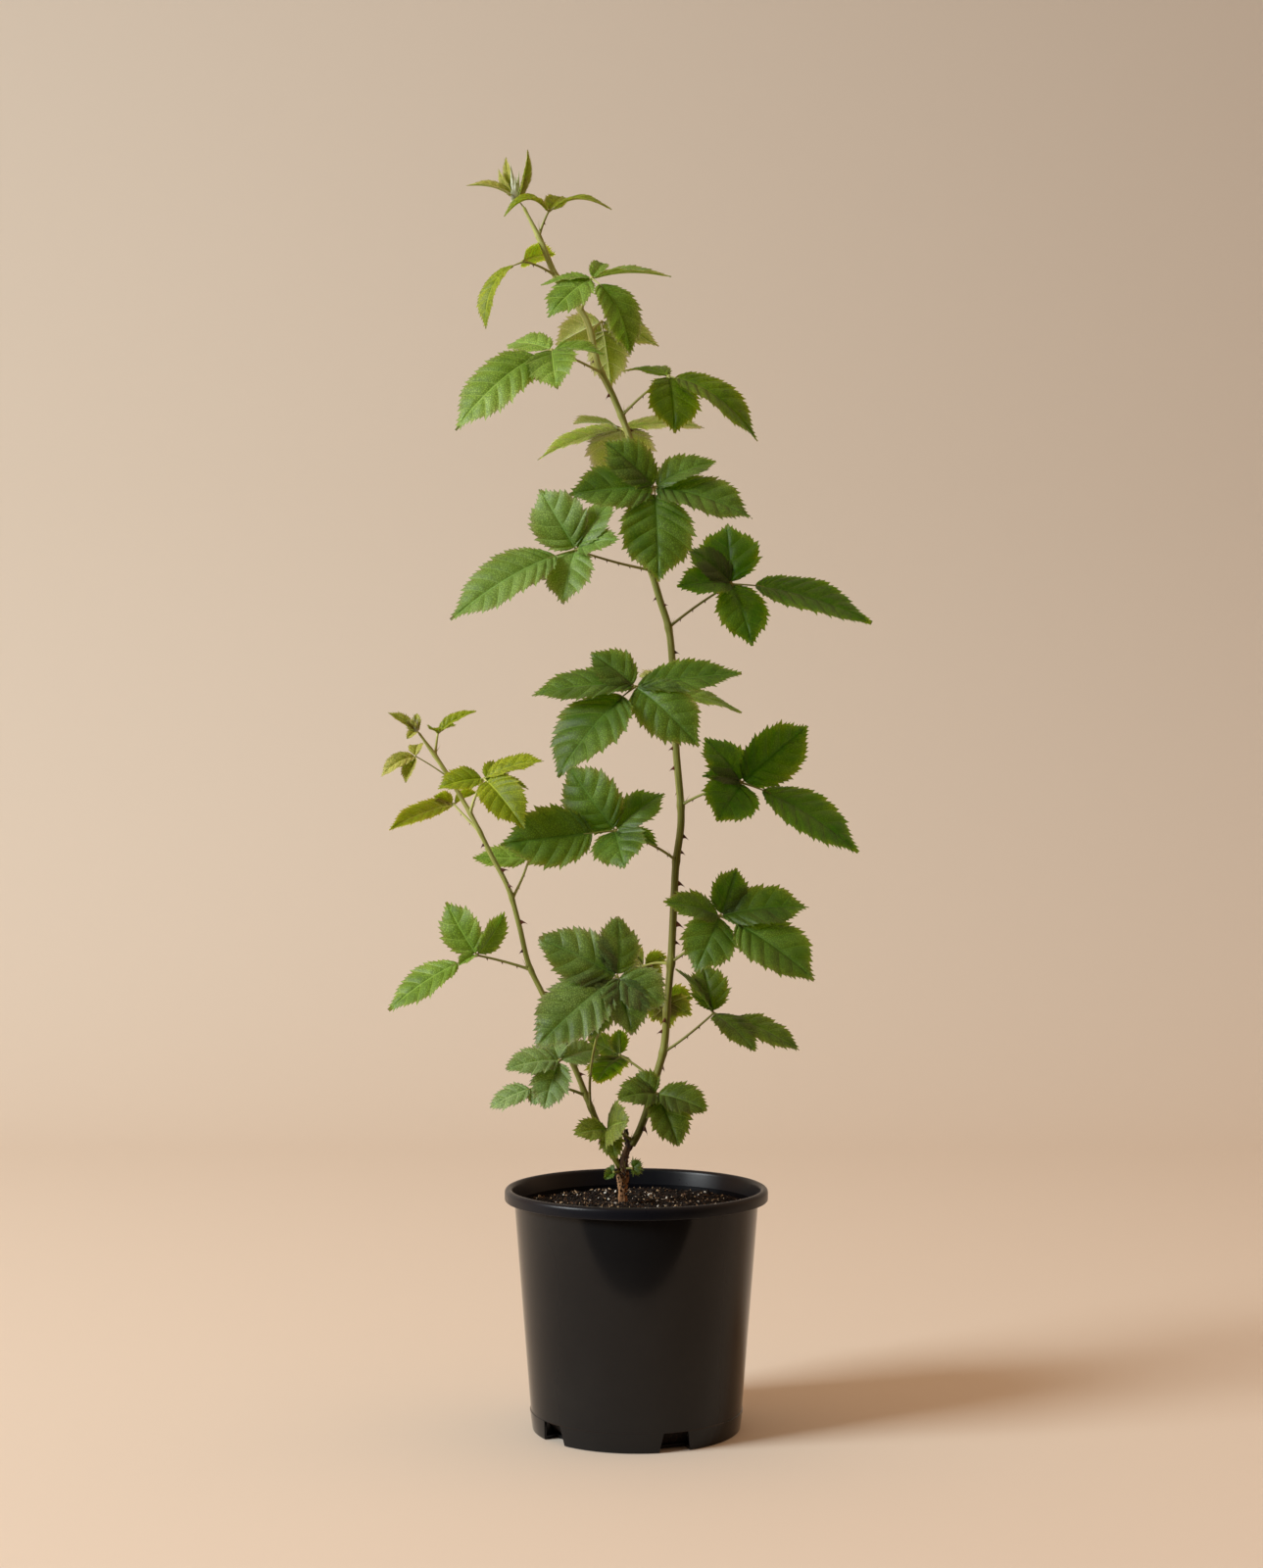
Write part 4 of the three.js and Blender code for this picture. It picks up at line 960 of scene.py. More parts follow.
# This leaf takes the lighter bud tone: partly its own young green, partly painted light, as it lies
# in the shade of the side tip's leaves.
leaf("leaf_side_08", 492, (-168.6, 508.8, -20), via=(-156, 502, -14),
     tilt=40, tone="bud", leaflets=[
    (-26.2, -15.7, -6, 14, 40, 0, 0.15), (-7.5, -20.2, -8, 12), (2.2, 9, 18, 12)
])
leaf("leaf_side_09", 509, (-151.4, 526.8, 4), tilt=60, tone="young", leaflets=[
    (29.2, 16.4, 4, 13), (13.5, 6, 16, 8), (-7, 3, -14, 10, 80)
])
# The two growing tips, and two tiny shoots at the stub
leaf("shoot_tip_long", 928, (-91.6, 935.7, 45), tilt=35, tone="bud", leaflets=[
    (8.2, 38.1, -4, 11, 0, 55), (-38.9, 10.5, -8, 12, 55, 0, 0.12), (-8.2, 32.1, 6, 9, 20, -50),
    (-14.2, 23.2, 0, 8, -10, -50), (6, 19, -12, 8, -20, 60)
])
leaf("shoot_tip_side", 525, (-167.6, 528, -16), tilt=40, tone="bud", leaflets=[
    (-22, 14, -6, 9), (-7, 9, -4, 8, -10), (0, 13.5, 4, 7), (-7.5, -6, -10, 7)
])
leaf("shoot_foot_left", 191, (-17, 192, 3), tilt=40, tone="mid", stem="stub", leaflets=[
    (-7, -5, -6, 8), (-4, 4, 5, 7)
])
leaf("shoot_foot_right", 194, (-3, 195, 4), tilt=40, tone="deep", stem="stub", leaflets=[
    (6, 5, -1, 9, 20), (5, -4, -3, 7)
])


def bent(start, middle, end):
    """A path along a parabola, as 48 points: from start, pulled towards middle, to end."""
    t = np.linspace(0, 1, 48)[:, None]
    return Path((1 - t) ** 2 * start + 2 * t * (1 - t) * middle + t ** 2 * end)


def face_of(tilt_deg, swing_deg):
    """The direction that a face looks in: tilted up from the front, then swung to the right."""
    tilt, swing = np.radians(tilt_deg), np.radians(swing_deg)
    return np.array([np.sin(swing) * np.cos(tilt), -np.cos(swing) * np.cos(tilt), np.sin(tilt)])


def leaflet_line(row, whole, stem_x):
    """A leaflet's middle line, from just outside the hub to its tip, the way it faces and its
    width. What its row leaves out comes from the whole leaf. Unless the row gives a swing, the
    face is swung outwards the farther its tip is from the stem."""
    usual = (whole["tilt"], whole["swing"], ARCH)
    dx, dz, dy, width, tilt, swing, arch = (*row, *usual[len(row) - 4:])
    hub = np.array(whole["hub"], float)
    base, tip = place(hub), place(hub + [dx, dz, dy])
    outwards = FACES_OUT_DEG * np.tanh((tip[0] - stem_x) / OUT_REACH) * (len(row) < 6)
    face = face_of(tilt, swing + outwards * (1 if swing != UNDER else -1))
    chord = tip - base
    reach = np.linalg.norm(chord)
    lift = unit(face - chord * (face @ chord) / reach ** 2)
    crest = base + chord * CREST_SHARE + lift * 2 * arch * reach
    start = base + chord * LEAFLET_START / reach
    return bent(start, crest, tip), face, width


def half_width(s, blunt):
    """A blade's half width, as a share of its greatest, at shares s of its length: a full sine
    bent towards the foot, then pinched to a drawn-out tip unless the leaflet is blunt."""
    pinch = 1 - 0.72 * (1 - blunt) * smooth_step(0.7, 1, s)
    return np.maximum(np.sin(np.pi * s ** (0.82 + 0.08 * blunt)), 0) ** 0.64 * pinch


def margin_rows(length, width, looks):
    """The rows of one half of a blade, from its foot to its tip, counted in teeth: three rows for
    each tooth, at its start, middle and peak, and two more beside each side vein. They are
    spaced along the margin. Returns the rows, each row's tooth, the veins' rows, the share s of
    the length where each row meets the margin, and the half width there."""
    s_fine = np.linspace(0, 1, 500)
    margin = np.stack([s_fine * length, width / 2 * half_width(s_fine, looks["blunt"])], -1)
    passed = np.concatenate([[0], np.linalg.norm(np.diff(margin, axis=0), axis=1).cumsum()])
    teeth = max(3, round(passed[-1] / looks["pitch"] / TEETH_TO_A_VEIN)) * TEETH_TO_A_VEIN
    tooth = np.arange(teeth)
    vein = tooth[1::TEETH_TO_A_VEIN] + TOOTH_PEAK
    rows = np.unique(np.concatenate([tooth, tooth + 0.5, tooth + TOOTH_PEAK,
                                     vein - HALF_VEIN, vein + HALF_VEIN, [teeth]]).round(4))
    s = np.interp(rows / teeth * passed[-1], passed, s_fine)
    half = width / 2 * half_width(s, looks["blunt"])
    half[[0, -1]] = 0
    return rows, np.minimum(rows.astype(int), teeth - 1), vein, s, half


def tooth_jut(rows, number, s, half, length, looks, rng):
    """How far the margin juts out at each row, and how far along and across the blade that is.
    Each tooth rises slowly to its peak, leans forward and drops back at once. The one at a side
    vein is the largest. All are small at the blade's foot, largest past its middle and smaller
    again at its tip."""
    size = looks["pitch"] * looks["depth"] * rng.uniform(0.8, 1.2, number[-1] + 1)[number]
    size = size * np.where(number % TEETH_TO_A_VEIN == 1, VEIN_TOOTH, OTHER_TOOTH)
    size = size * smooth_step(0.01, 0.1, s) * (0.75 + 0.4 * smooth_step(0.2, 0.6, s))
    size = size * (1 - 0.6 * smooth_step(0.93, 1, s))
    jut = size * np.interp(rows % 1, [0, 0.5, TOOTH_PEAK, 1], [0, 0.4, 1, 0])
    slope = np.gradient(half, s * length + 1e-6 * rows)
    outward = unit(np.stack([-slope, np.ones_like(slope)], -1))
    return (jut, jut * (outward[:, 0] + TOOTH_LEAN * outward[:, 1]),
            jut * (outward[:, 1] - TOOTH_LEAN * outward[:, 0]))


def blade_rise(v, s, phase, across, body, width, looks, rng):
    """How far a blade rises from flat: half-sine pleats between the side veins, less a groove
    along the rib, with a margin that waves up and down and droops."""
    pleat = np.abs(np.sin(np.pi * phase))[:, None] ** 0.8 * smooth_step(0, 0.3, v) * (1 - 0.35 * v)
    up = looks["pleat"] * width * pleat * body
    up = up - RIB_GROOVE * np.exp(-(across / (2 * RIB_HALF_WIDTH)) ** 2) * body
    wave = np.sin(2 * np.pi * (rng.uniform(1.3, 2.4) * s + rng.random()))[:, None]
    up = up + looks["wave"] * width * wave * v ** 3
    return up - looks["droop"] * width * (v ** 2.4) * body


def blade_veins(v, s, rows, vein, across):
    """How far the side veins and the rib stand out below a blade, and which faces are vein."""
    at_vein = np.isclose(rows[:, None], vein[None], atol=1e-3).any(1)[:, None]
    ridge = VEIN_HEIGHT * at_vein * (1 - 0.75 * v) * (v > 0)
    ridge = ridge + RIB_HEIGHT * np.exp(-(across / RIB_REACH) ** 2) * (1 - 0.6 * s[:, None])
    strip = (np.abs((rows[:-1] + rows[1:])[:, None] / 2 - vein[None]) < HALF_VEIN).any(1)
    return ridge, strip[:, None] | (np.arange(v.shape[1] - 1) == 0)[None]


def blade_half(length, width, side, looks, rng):
    """One half of a blade, spread flat, then raised. Its columns run along the blade, at shares v
    of the way from the rib to the margin. On a row that meets the margin at share s, the rib end
    lies at s to a power above 1, so that rows lean forward as side veins do. The margin stands
    out at each side vein, drops back past it, and juts out in teeth. Returns how far along,
    across and up each point is, the blade's thickness there, how far the veins stand out below,
    and which faces are vein."""
    rows, number, vein, s, half = margin_rows(length, width, looks)
    jut, jut_along, jut_across = tooth_jut(rows, number, s, half, length, looks, rng)
    phase = (rows - 1 - TOOTH_PEAK) / TEETH_TO_A_VEIN
    lobe = looks["lobe"] * half * np.interp((phase + 1e-6) % 1, [0, 0.06, 1], [1, -1, 1])

    near_rib = np.array([0, RIB_HALF_WIDTH, 2.2 * RIB_HALF_WIDTH])[None, :]
    near_rib = np.minimum(near_rib / np.maximum(half, 1e-6)[:, None], [[0, 0.07, 0.15]])
    v = np.concatenate([near_rib, np.tile(BLADE_COLUMNS, (len(rows), 1))], 1)
    rib_s = s ** (1 + looks["lean"] * width / 2 / length)
    tooth_share = smooth_step(0.8, 1, v)
    along = length * (rib_s[:, None] + (s - rib_s)[:, None] * v ** 1.25)
    along = along + jut_along[:, None] * tooth_share
    across = v * half[:, None] + jut_across[:, None] * tooth_share
    across = across + lobe[:, None] * smooth_step(0.35, 1, v)

    body = np.sqrt(half / (width / 2) + 1e-9)[:, None]
    up = blade_rise(v, s, phase, across, body, width, looks, rng)
    curl = 0.25 * (rng.random(number[-1] + 1)[number] - 0.5)
    up = up + curl[:, None] * tooth_share * jut[:, None]
    ends = (smooth_step(0, 0.04, s) * (1 - smooth_step(0.93, 1, s)))[:, None]
    ridge, is_vein = blade_veins(v, s, rows, vein, across)
    return along, across * side, up, BLADE_THICKNESS * (1 - v ** 6) * ends, ridge * ends, is_vein


def add_leaflet(mould, line, from_share, face, width, looks, rng):
    """Adds a leaflet to a mould: each half's places are carried along the middle line, across it
    and up from it, folded along the rib and twisted towards the tip, once for the upper skin
    and once for the lower."""
    length = line.length * (1 - from_share)
    twist = rng.normal(0, looks["twist"])
    fold = np.radians(max(0, rng.normal(looks["fold"], 3)))
    patch = rng.uniform(0, 40, 2)
    for side in (1, -1):
        along, across, up, thick, ridge, is_vein = blade_half(length, width, side, looks, rng)
        share = from_share + (1 - from_share) * along / length
        centre, ahead = line.at(share), line.heading(share)
        beyond = np.maximum(along - length, 0)[..., None] * ahead
        normal = unit(face - ahead * (ahead @ face)[..., None])
        sideways = np.cross(ahead, normal)
        lean = np.radians(twist) * (share - 0.3)[..., None]
        normal, sideways = (normal * np.cos(lean) + sideways * np.sin(lean),
                            sideways * np.cos(lean) - normal * np.sin(lean))
        sheet = centre + beyond + sideways * (across * np.cos(fold))[..., None]
        rise = np.abs(across) * np.sin(fold) + up
        rows, columns = along.shape
        faces = grid_faces(rows, columns)
        uv = np.stack([along, across], -1) / 100 + patch
        for lift, finish in ((thick / 2, 0), (-thick / 2 - ridge, 2)):
            mould.add(sheet + normal * (rise + lift)[..., None], faces,
                      finish + is_vein.ravel(), uv)


# How leaflets of each age look: the pitch and depth of their teeth, how blunt they are, how far
# the margin stands out at each side vein, how far side veins lean forward, how high the blade is
# pleated, waved and drooped as shares of its width, and its fold and twist in degrees.
GROWN = {"pitch": TOOTH_PITCH, "depth": TOOTH_DEPTH, "blunt": 0, "lobe": 0.045, "lean": 2.6,
         "pleat": 0.037, "wave": 0.03, "droop": 0.03, "fold": FOLD_DEG, "twist": 9}
LOWER = {**GROWN, "blunt": 0.55, "pleat": 0.048}
FOOT = {**GROWN, "pitch": 2.9, "depth": 0.66, "blunt": 0.5, "lobe": 0.07, "pleat": 0.04}
FRESH = {**GROWN, "pitch": 2.7, "depth": 0.58, "pleat": 0.034, "fold": 12, "twist": 14}
TINY = {**GROWN, "pitch": 1.7, "depth": 0.58, "pleat": 0.05, "fold": 26, "twist": 16}

# The undersides that two tones share: blade, then vein, each dark and light.
GREY_BELOW = (((116, 136, 80), (150, 168, 112)), ((150, 168, 112), (170, 184, 130)))
GREEN_BELOW = (((104, 122, 50), (138, 154, 82)), ((140, 156, 88), (164, 176, 108)))
YELLOW_BELOW = (((142, 154, 78), (178, 184, 116)), ((180, 188, 122), (200, 204, 144)))
# The tones: how their leaflets look, their roughness, and the colours of the blade and veins
# above and of the blade and veins below, each dark and light.
TONES = {
    "deep": (FOOT, 0.52, ((62, 80, 18), (106, 128, 44)), ((90, 112, 40), (112, 134, 56)),
             ((54, 64, 12), (82, 92, 28)), ((100, 112, 42), (122, 132, 60))),
    # This tone is a lighter copy of grey: the lower leaves' own grey-green, partly lifted as painted
    # light where they lie in shade.
    "pale": (FOOT, 0.52, ((92, 120, 58), (150, 178, 110)), ((130, 156, 92), (158, 180, 118)),
             *GREY_BELOW),
    "grey": (LOWER, 0.4, ((62, 88, 32), (118, 144, 76)), ((80, 106, 44), (108, 134, 66)),
             *GREY_BELOW),
    "worn": (FOOT, 0.56, ((84, 100, 20), (142, 152, 60)), ((106, 126, 44), (132, 150, 66)),
             ((112, 130, 76), (146, 160, 104)), ((140, 156, 100), (162, 176, 120))),
    # This tone is a darker copy of mid: painted shade for the leaves at the right that face away
    # from the lamp.
    "green_in_painted_shade": (GROWN, 0.48, ((38, 66, 0), (78, 112, 22)), ((58, 90, 16), (82, 114, 32)),
              *GREEN_BELOW),
    "mid": (GROWN, 0.48, ((50, 76, 12), (102, 134, 50)), ((68, 96, 24), (96, 126, 46)),
            *GREEN_BELOW),
    "olive": (GROWN, 0.48, ((58, 84, 2), (112, 140, 20)), ((90, 118, 18), (116, 142, 32)),
              ((88, 86, 16), (120, 116, 44)), ((122, 120, 44), (146, 142, 64))),
    "bright": (GROWN, 0.48, ((88, 122, 26), (148, 182, 80)), ((124, 156, 56), (152, 180, 84)),
               *YELLOW_BELOW),
    # This tone's blade is a greyer, bluer green: painted sheen of the lamp on a lit leaf.
    "green_and_painted_sheen": (GROWN, 0.5, ((94, 128, 42), (136, 168, 88)), ((112, 146, 64), (138, 168, 90)),
              *YELLOW_BELOW),
    # This tone's undersides, the palest, are partly a leaf's own pale underside and partly painted
    # light, standing for light through a leaf that the leaves above shade.
    "russet": (GROWN, 0.5, ((92, 98, 16), (146, 150, 56)), ((118, 124, 36), (146, 150, 60)),
               ((160, 178, 112), (202, 214, 156)), ((188, 198, 136), (208, 216, 164))),
    "young": (FRESH, 0.54, ((108, 126, 2), (160, 174, 28)), ((142, 158, 30), (168, 180, 50)),
              ((130, 126, 24), (164, 158, 52)), ((156, 152, 48), (180, 174, 76))),
    "bud": (TINY, 0.6, ((140, 144, 42), (202, 198, 104)), ((178, 180, 90), (204, 202, 120)),
            ((160, 166, 96), (186, 190, 128)), ((180, 184, 122), (196, 200, 144))),
}


def leaf_finishes(tone, rough, blade, vein, under, under_vein):
    """The four finishes of a leaf: blade and veins above, then blade and veins below. Each
    colour is given dark and light: broad clouds that differ from leaflet to leaflet and small
    ones between them, and on the blade a net of small sunken veins, darker in their grooves
    as painted shade. Light scatters under the skin of the living blade, most of all below."""
    made = []
    for part, (dark, light), roughness in (
            ("blade", blade, rough), ("vein", vein, rough + 0.08),
            ("under", under, 0.72), ("under_vein", under_vein, 0.66)):
        below = part.startswith("under")
        finish = Finish(f"{tone}_{part}", srgb(*dark), roughness,
                        Subsurface_Weight=0.5 if below else 0.3,
                        Subsurface_Radius=(0.6, 1.0, 0.25), Subsurface_Scale=0.004,
                        Specular_IOR_Level=0.22 if below else 0.27)
        middle = srgb(*((low + high) / 2 for low, high in zip(dark, light)))
        small = finish.noise(60, 4)
        broad = finish.span(finish.noise(1.6, 2, source="UV"), 0.36, 0.64, 0, 1)
        colour = finish.blend(broad, finish.ramp(small, (0.35, srgb(*dark)), (0.65, middle)),
                              finish.ramp(small, (0.35, middle), (0.65, srgb(*light))))
        if "vein" not in part:
            # The net's grooves are painted darker: painted shade in the sunken small veins.
            net = finish.cells(62, "DISTANCE_TO_EDGE", source="UV")
            painted_groove_shade = srgb(*(0.62 * value for value in dark))
            share = finish.span(net, 0, 0.22, 0.45 if below else 0.25, 1)
            colour = finish.blend(share, painted_groove_shade, colour)
            finish.bump(net, 0.3, 0.7)
            finish.bump(finish.noise(700, 3), 0.1)
        finish.colour(colour)
        made.append(finish)
    return made


finishes = {tone: leaf_finishes(tone, rough, *colours)
            for tone, (_, rough, *colours) in TONES.items()}


def petiole_skin(path, size, radius, taper, swelling, sides=8):
    """A thin tube whose radius shrinks evenly by taper to its end; at its foot a swelling is
    added, which dies away along it. All three are multiplied by size."""
    share = np.linspace(0, 1, max(6, int(path.length / PETIOLE_RING_EVERY)))
    swollen = size * swelling * np.exp(-share * path.length / SWELLING_REACH)
    shares, radii = closed(share, size * (radius - taper * share) + swollen)
    spoke = np.cross(path.points[-1] - path.points[0], [0.31, 0.2, 0.9])
    return tube(path, shares, radii, sides, unit(spoke)), grid_faces(len(shares), sides, wrap=True)


def petiole_finish(name, ripe_to, fresh_from):
    """A petiole's skin: reddish brown and olive up to one height, fresh green from another."""
    finish = Finish(name, srgb(96, 92, 40), 0.55, Specular_IOR_Level=0.4)
    clouds = finish.noise(26, 3)
    ripe = finish.ramp(clouds, (0.26, srgb(118, 92, 48)), (0.44, srgb(134, 132, 60)),
                       (0.72, srgb(164, 172, 88)))
    fresh = finish.ramp(clouds, (0.3, srgb(156, 162, 78)), (0.7, srgb(200, 204, 124)))
    finish.colour(finish.blend(finish.height(ripe_to, fresh_from), ripe, fresh))
    finish.bump(finish.noise(1200, 2), 0.1)
    return finish


thorn = Finish("thorn", srgb(110, 62, 38), 0.45)
thorn.colour(thorn.ramp(thorn.noise(300, 2), (0.35, srgb(70, 32, 22)), (0.7, srgb(118, 66, 42))))

wool = Finish("wool", srgb(206, 206, 176), 0.9)
wool.colour(wool.ramp(wool.noise(260, 3), (0.35, srgb(168, 174, 118)), (0.65, srgb(226, 226, 204))))


def add_petiole(mould, petiole, hub, size, rng):
    """A petiole and the knob where its leaflets meet. A grown one, whose size is 1, also has two
    stipules at its foot and hooked prickles under it."""
    mould.add(*petiole_skin(petiole, size, PETIOLE_RADIUS, PETIOLE_TAPER, PETIOLE_SWELLING))
    knob = lathe(arc(0, 0, size * HUB_RADIUS, -90, 90, HUB_STEPS), HUB_SPOKES) + hub
    mould.add(knob, grid_faces(HUB_STEPS + 1, HUB_SPOKES, wrap=True))
    if size < 1:
        return
    both = np.full(2, STIPULE_AT / petiole.length)
    ahead = petiole.heading(both)
    aside = unit(np.cross(ahead, [0, 0, 1])) * np.array([[1], [-1]])
    upwards = np.array([0, 0, 0.8])
    mould.add(*hook_skins(petiole.at(both), aside + upwards, ahead + upwards,
                          STIPULE_LENGTH * rng.uniform(0.6, 1, 2), STIPULE_STOUT))
    hooks = np.arange(HOOKS_FROM, petiole.length - HOOKS_CLEAR_OF_HUB, HOOKS_EVERY) / petiole.length
    if len(hooks):
        ahead = petiole.heading(hooks)
        under = unit(np.array([0, 0, -1.0]) - ahead * ahead[:, 2:] * -1)
        mould.add(*hook_skins(petiole.at(hooks) + under * 0.7, under, -ahead,
                              np.full(len(hooks), HOOK_LENGTH), HOOK_STOUT, rings=4, spokes=5),
                  finish=1)


petioles = {"long": Mould(), "side": Mould(), "stub": Mould()}
leaf_shares = {"long": [], "side": [], "stub": []}
stems = {"long": long_cane, "side": side_cane, "stub": stub_stem}
for order, row in enumerate(LEAVES):
    rng = np.random.default_rng(100 + order)
    cane = stems[row["stem"]]
    foot_share = cane.share_at(row["at"])
    leaf_shares[row["stem"]].append(foot_share)
    foot, hub = cane.path.at(foot_share), place(row["hub"])
    rise = np.array([0, 0, PETIOLE_RISE * np.linalg.norm(hub - foot)])
    bend = place(row["via"]) if row["via"] else (foot + hub) / 2 + rise
    size = UNFOLDING_SIZE if row["tone"] == "bud" else 1.0
    mould = petioles[row["stem"]]
    add_petiole(mould, bent(foot, bend, hub), hub, size, rng)
    blades = Mould()
    for index, leaflet in enumerate(row["leaflets"]):
        line, face, width = leaflet_line(leaflet, row, foot[0])
        stalk = row["stalk"] if index == row["terminal"] else STALK * min(1, width / WIDE_LEAFLET)
        stalk_share = min(0.5, stalk / line.length)
        # The stalk runs on under the blade's foot, so that the two overlap.
        first = Path(np.concatenate([hub[None], line.at(np.linspace(0, stalk_share * 1.25, 16))]))
        mould.add(*petiole_skin(first, size, STALK_RADIUS, STALK_TAPER, STALK_SWELLING,
                                STALK_SPOKES))
        # A narrow leaflet is still unfolding, except on a leaf that is old and dark.
        tiny = width < TINY_LEAFLET and row["tone"] != "deep"
        looks = TINY if tiny else TONES[row["tone"]][0]
        add_leaflet(blades, line, stalk_share * 0.9, face, width, looks, rng)
    if row["name"].startswith("shoot_tip"):
        # Three leaves still folded, as woolly spikes
        lean = np.array([[-0.25, -0.3, 1], [0.05, -0.3, 1], [-0.1, -0.5, 1]])
        longest = BUD_LENGTH if row["stem"] == "long" else 0.5 * BUD_LENGTH
        blades.add(*hook_skins(np.repeat(hub[None], 3, 0), lean, np.full((3, 3), 0.1),
                               np.array([1, 0.8, 0.65]) * longest, BUD_STOUT, rings=9, spokes=8), 4)
    piece = blades.cast(row["name"].replace("leaf", "blades").replace("shoot", "young_blades"),
                        [*finishes[row["tone"]], wool], sharp_deg=BLADE_SHARP_DEG)
    dress(piece, "young_leaf" if row["name"].startswith("shoot") else "leaf", row["name"])

# All petioles of one stem are one piece, ripe up to one height and fresh green from another.
for stem, ripe_to, fresh_from in (("long", 640, 840), ("side", 330, 480), ("stub", 300, 400)):
    skin = petiole_finish(f"petiole_skin_{stem}", ripe_to, fresh_from)
    piece = petioles[stem].cast(f"petioles_{stem}", [skin, thorn], sharp_deg=CANE_SHARP_DEG)
    dress(piece, "cane", *(row["name"] for row in LEAVES if row["stem"] == stem))


def cane_finish(name, ripe_to, fresh_from, tender_from):
    """A cane's skin: striped lengthwise, browner and riper up to one height, green from another,
    all green for a stretch, and then paler until it is all tender at a third."""
    finish = Finish(name, srgb(104, 112, 44), 0.52, Specular_IOR_Level=0.4)
    stripes = finish.noise(3.2, 4, source="UV", stretch=(9, 0.6, 1))
    fresh = finish.ramp(stripes, (0.38, srgb(118, 126, 44)), (0.62, srgb(168, 172, 90)))
    tender = finish.ramp(stripes, (0.38, srgb(164, 170, 74)), (0.62, srgb(204, 206, 126)))
    ripe = finish.ramp(stripes, (0.36, srgb(92, 86, 26)), (0.52, srgb(118, 118, 38)),
                       (0.68, srgb(146, 148, 62)))
    paling = finish.height(fresh_from + ALL_GREEN_FOR, tender_from)
    green = finish.blend(paling, fresh, tender)
    finish.colour(finish.blend(finish.height(ripe_to, fresh_from), ripe, green))
    finish.bump(finish.noise(5, 3, source="UV", stretch=(14, 1, 1)), 0.25)
    finish.bump(finish.noise(900, 2), 0.08)
    return finish


# The canes' skins are made here, since they swell where leaves leave them. Each row ends with
# the heights where the skin is ripe up to, green from and tender from.
for name, cane, seen, node, seed, *heights in (
        ("cane_long", long_cane, LONG_PRICKLES, "long_cane", 11, 440, 600, 850),
        ("cane_side", side_cane, SIDE_PRICKLES, "side_cane", 5, 195, 280, 480)):
    shares = leaf_shares["long" if cane is long_cane else "side"]
    points, faces, uv = cane_skin(cane, shares, seed)
    mould = Mould()
    mould.add(points, faces, 0, uv)
    mould.add(*cane_prickles(cane, seen, shares, seed), finish=1)
    skin = cane_finish(f"{name}_skin", *heights)
    piece = mould.cast(name, [skin, thorn], sharp_deg=CANE_SHARP_DEG)
    dress(piece, "cane", node)

# The stage
# A pale beige sweep of seamless paper that ends a little in front of the pot, on a floor
# painted dark as painted shade of the unlit room in front. One soft white lamp stands far
# off at the left, and the warm room lights from all sides but the viewer's.
SWEEP_FRONT = -396
SWEEP_BACK = 2600
SWEEP_HEIGHT = 3600
SWEEP_ROUND = 1100
SWEEP_SIDE = 3600
SWEEP_BELOW_POT = 0.2
FLOOR_REACH = 7000
FLOOR_BELOW_POT = 4
# The lamp's sizes and places are in metres.
LAMP_AT = (-4.7, -2.2, 2.8)
LAMP_AIMS_AT = (0.1, 0.3, 0.3)
LAMP_SIZE = 2.2
LAMP_WATTS = 200
LAMP_COLOUR = (0.89, 0.95, 0.97)
LAMP_SPREAD_DEG = 130
ROOM_COLOUR = (1, 0.62, 0.38, 1)
ROOM_STRENGTH = 0.78
ROOM_DIMMEST = 0.12
ROOM_FULL_FROM = 0.2

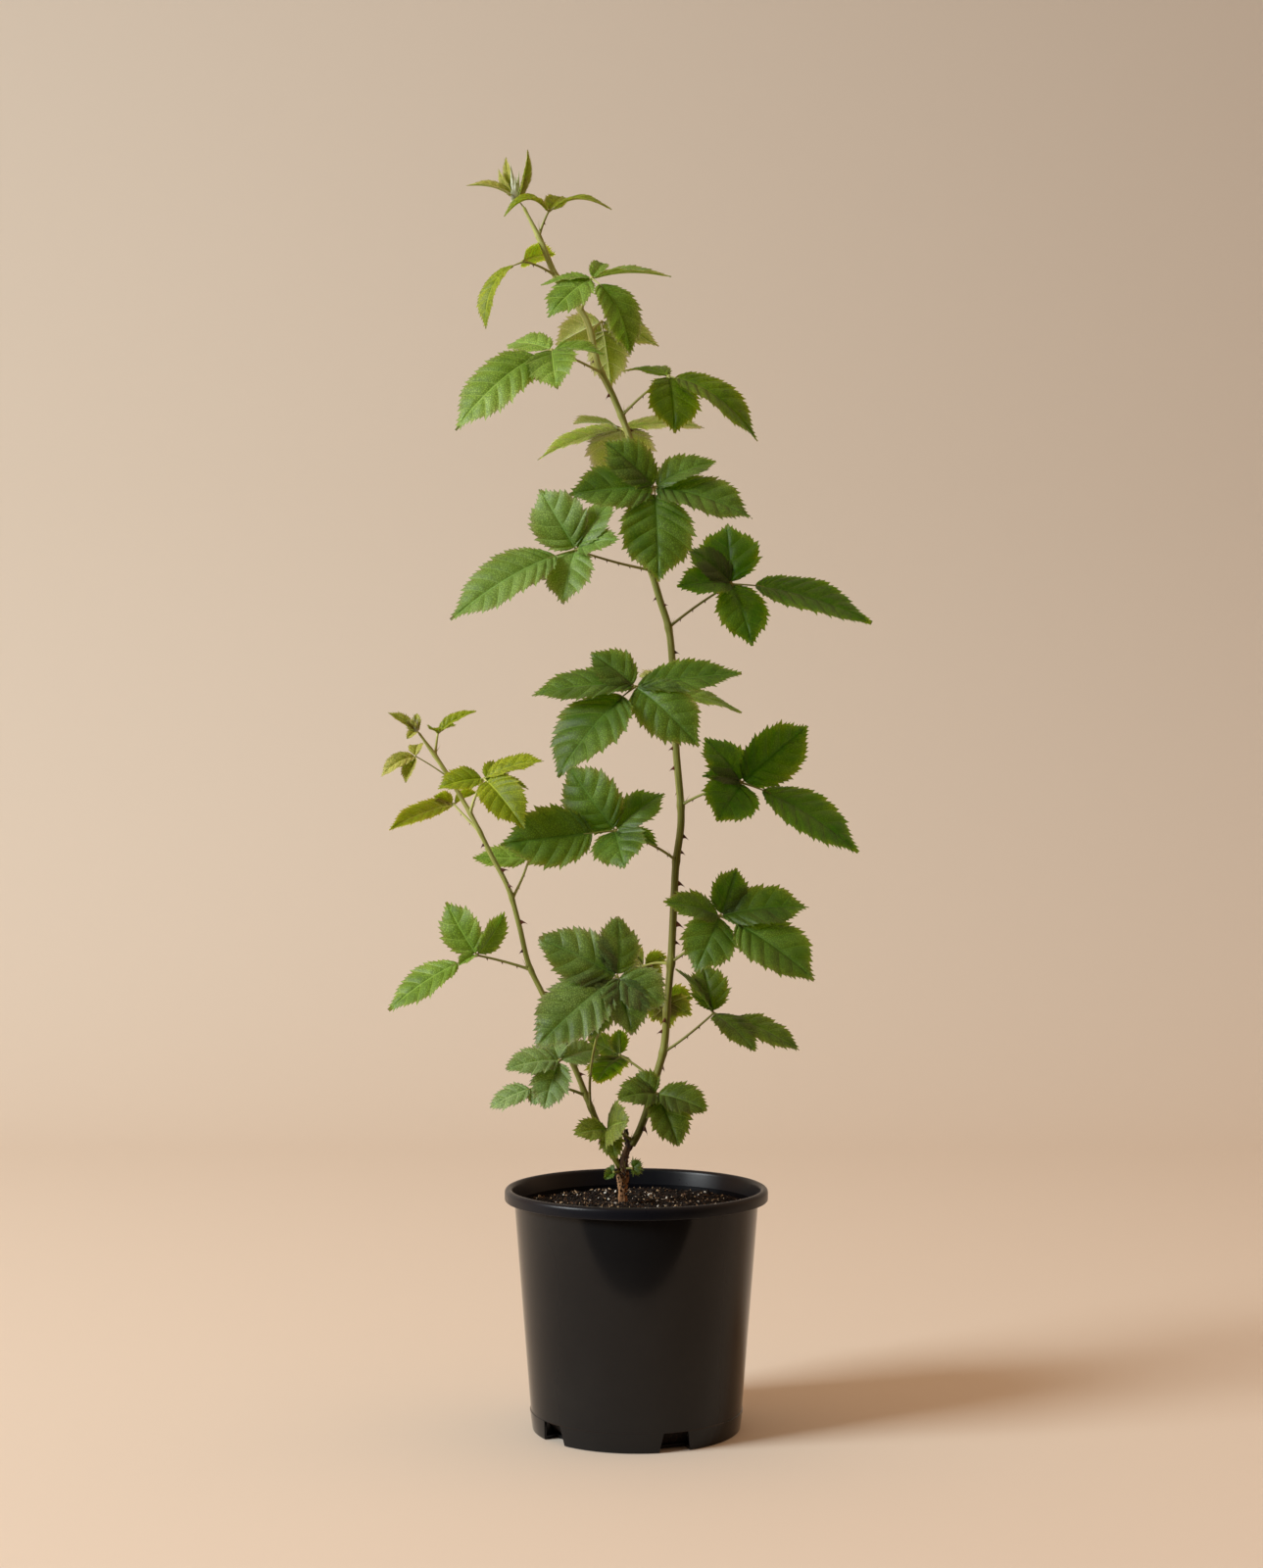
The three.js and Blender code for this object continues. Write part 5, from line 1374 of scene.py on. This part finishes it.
t = np.radians(np.linspace(0, 90, 24))
section = np.concatenate([
    [[SWEEP_FRONT, 0]],
    np.stack([SWEEP_BACK - SWEEP_ROUND + SWEEP_ROUND * np.sin(t),
              SWEEP_ROUND - SWEEP_ROUND * np.cos(t)], -1),
    [[SWEEP_BACK, SWEEP_HEIGHT]],
])
across = np.array([-SWEEP_SIDE, SWEEP_SIDE])
sweep_points = np.stack(np.broadcast_arrays(across[None, :], section[:, :1], section[:, 1:]), -1)
paper = Finish("paper", srgb(226, 214, 198), 0.95, Specular_IOR_Level=0.1)
sweep_mould = Mould()
sweep_mould.add(sweep_points - [0, 0, SWEEP_BELOW_POT], grid_faces(len(section), 2))
sweep_mould.cast("sweep", [paper])
# The floor's dark colour is painted shade of the unlit room in front of the sweep.
painted_shade_floor = Finish("painted_shade_floor", srgb(58, 50, 44), 0.9, Specular_IOR_Level=0.1)
floor_mould = Mould()
corners = FLOOR_REACH * np.array([[-1, -1, 0], [1, -1, 0], [-1, 1, 0], [1, 1, 0]])
floor_mould.add(corners - [0, 0, FLOOR_BELOW_POT], grid_faces(2, 2))
floor_mould.cast("floor", [painted_shade_floor])

light = bpy.data.lights.new("key", "AREA")
light.size = LAMP_SIZE
light.energy = LAMP_WATTS
light.color = LAMP_COLOUR
light.spread = np.radians(LAMP_SPREAD_DEG)
lamp = bpy.data.objects.new("key", light)
lamp.location = LAMP_AT
aim = np.array(LAMP_AIMS_AT) - np.array(LAMP_AT)
lamp.rotation_euler = (np.arctan2(np.hypot(*aim[:2]), -aim[2]), 0,
                       np.arctan2(aim[1], aim[0]) - np.pi / 2)
bpy.context.scene.collection.objects.link(lamp)

# The room shines least from the viewer's side, -Y, and fully from a little past the middle.
room = bpy.data.worlds.new("room")
room.use_nodes = True
air = room.node_tree
ways = air.nodes.new("ShaderNodeTexCoord")
parts = air.nodes.new("ShaderNodeSeparateXYZ")
air.links.new(ways.outputs["Generated"], parts.inputs["Vector"])
rise = air.nodes.new("ShaderNodeMapRange")
for socket, number in zip(("From Min", "From Max", "To Min", "To Max"),
                          (-1, ROOM_FULL_FROM, ROOM_DIMMEST, 1)):
    rise.inputs[socket].default_value = number
air.links.new(parts.outputs["Y"], rise.inputs["Value"])
power = air.nodes.new("ShaderNodeMath")
power.operation = "MULTIPLY"
power.inputs[1].default_value = ROOM_STRENGTH
air.links.new(rise.outputs["Result"], power.inputs[0])
air.links.new(power.outputs["Value"], air.nodes["Background"].inputs["Strength"])
air.nodes["Background"].inputs["Color"].default_value = ROOM_COLOUR
bpy.context.scene.world = room
bpy.context.scene.view_settings.view_transform = "Standard"
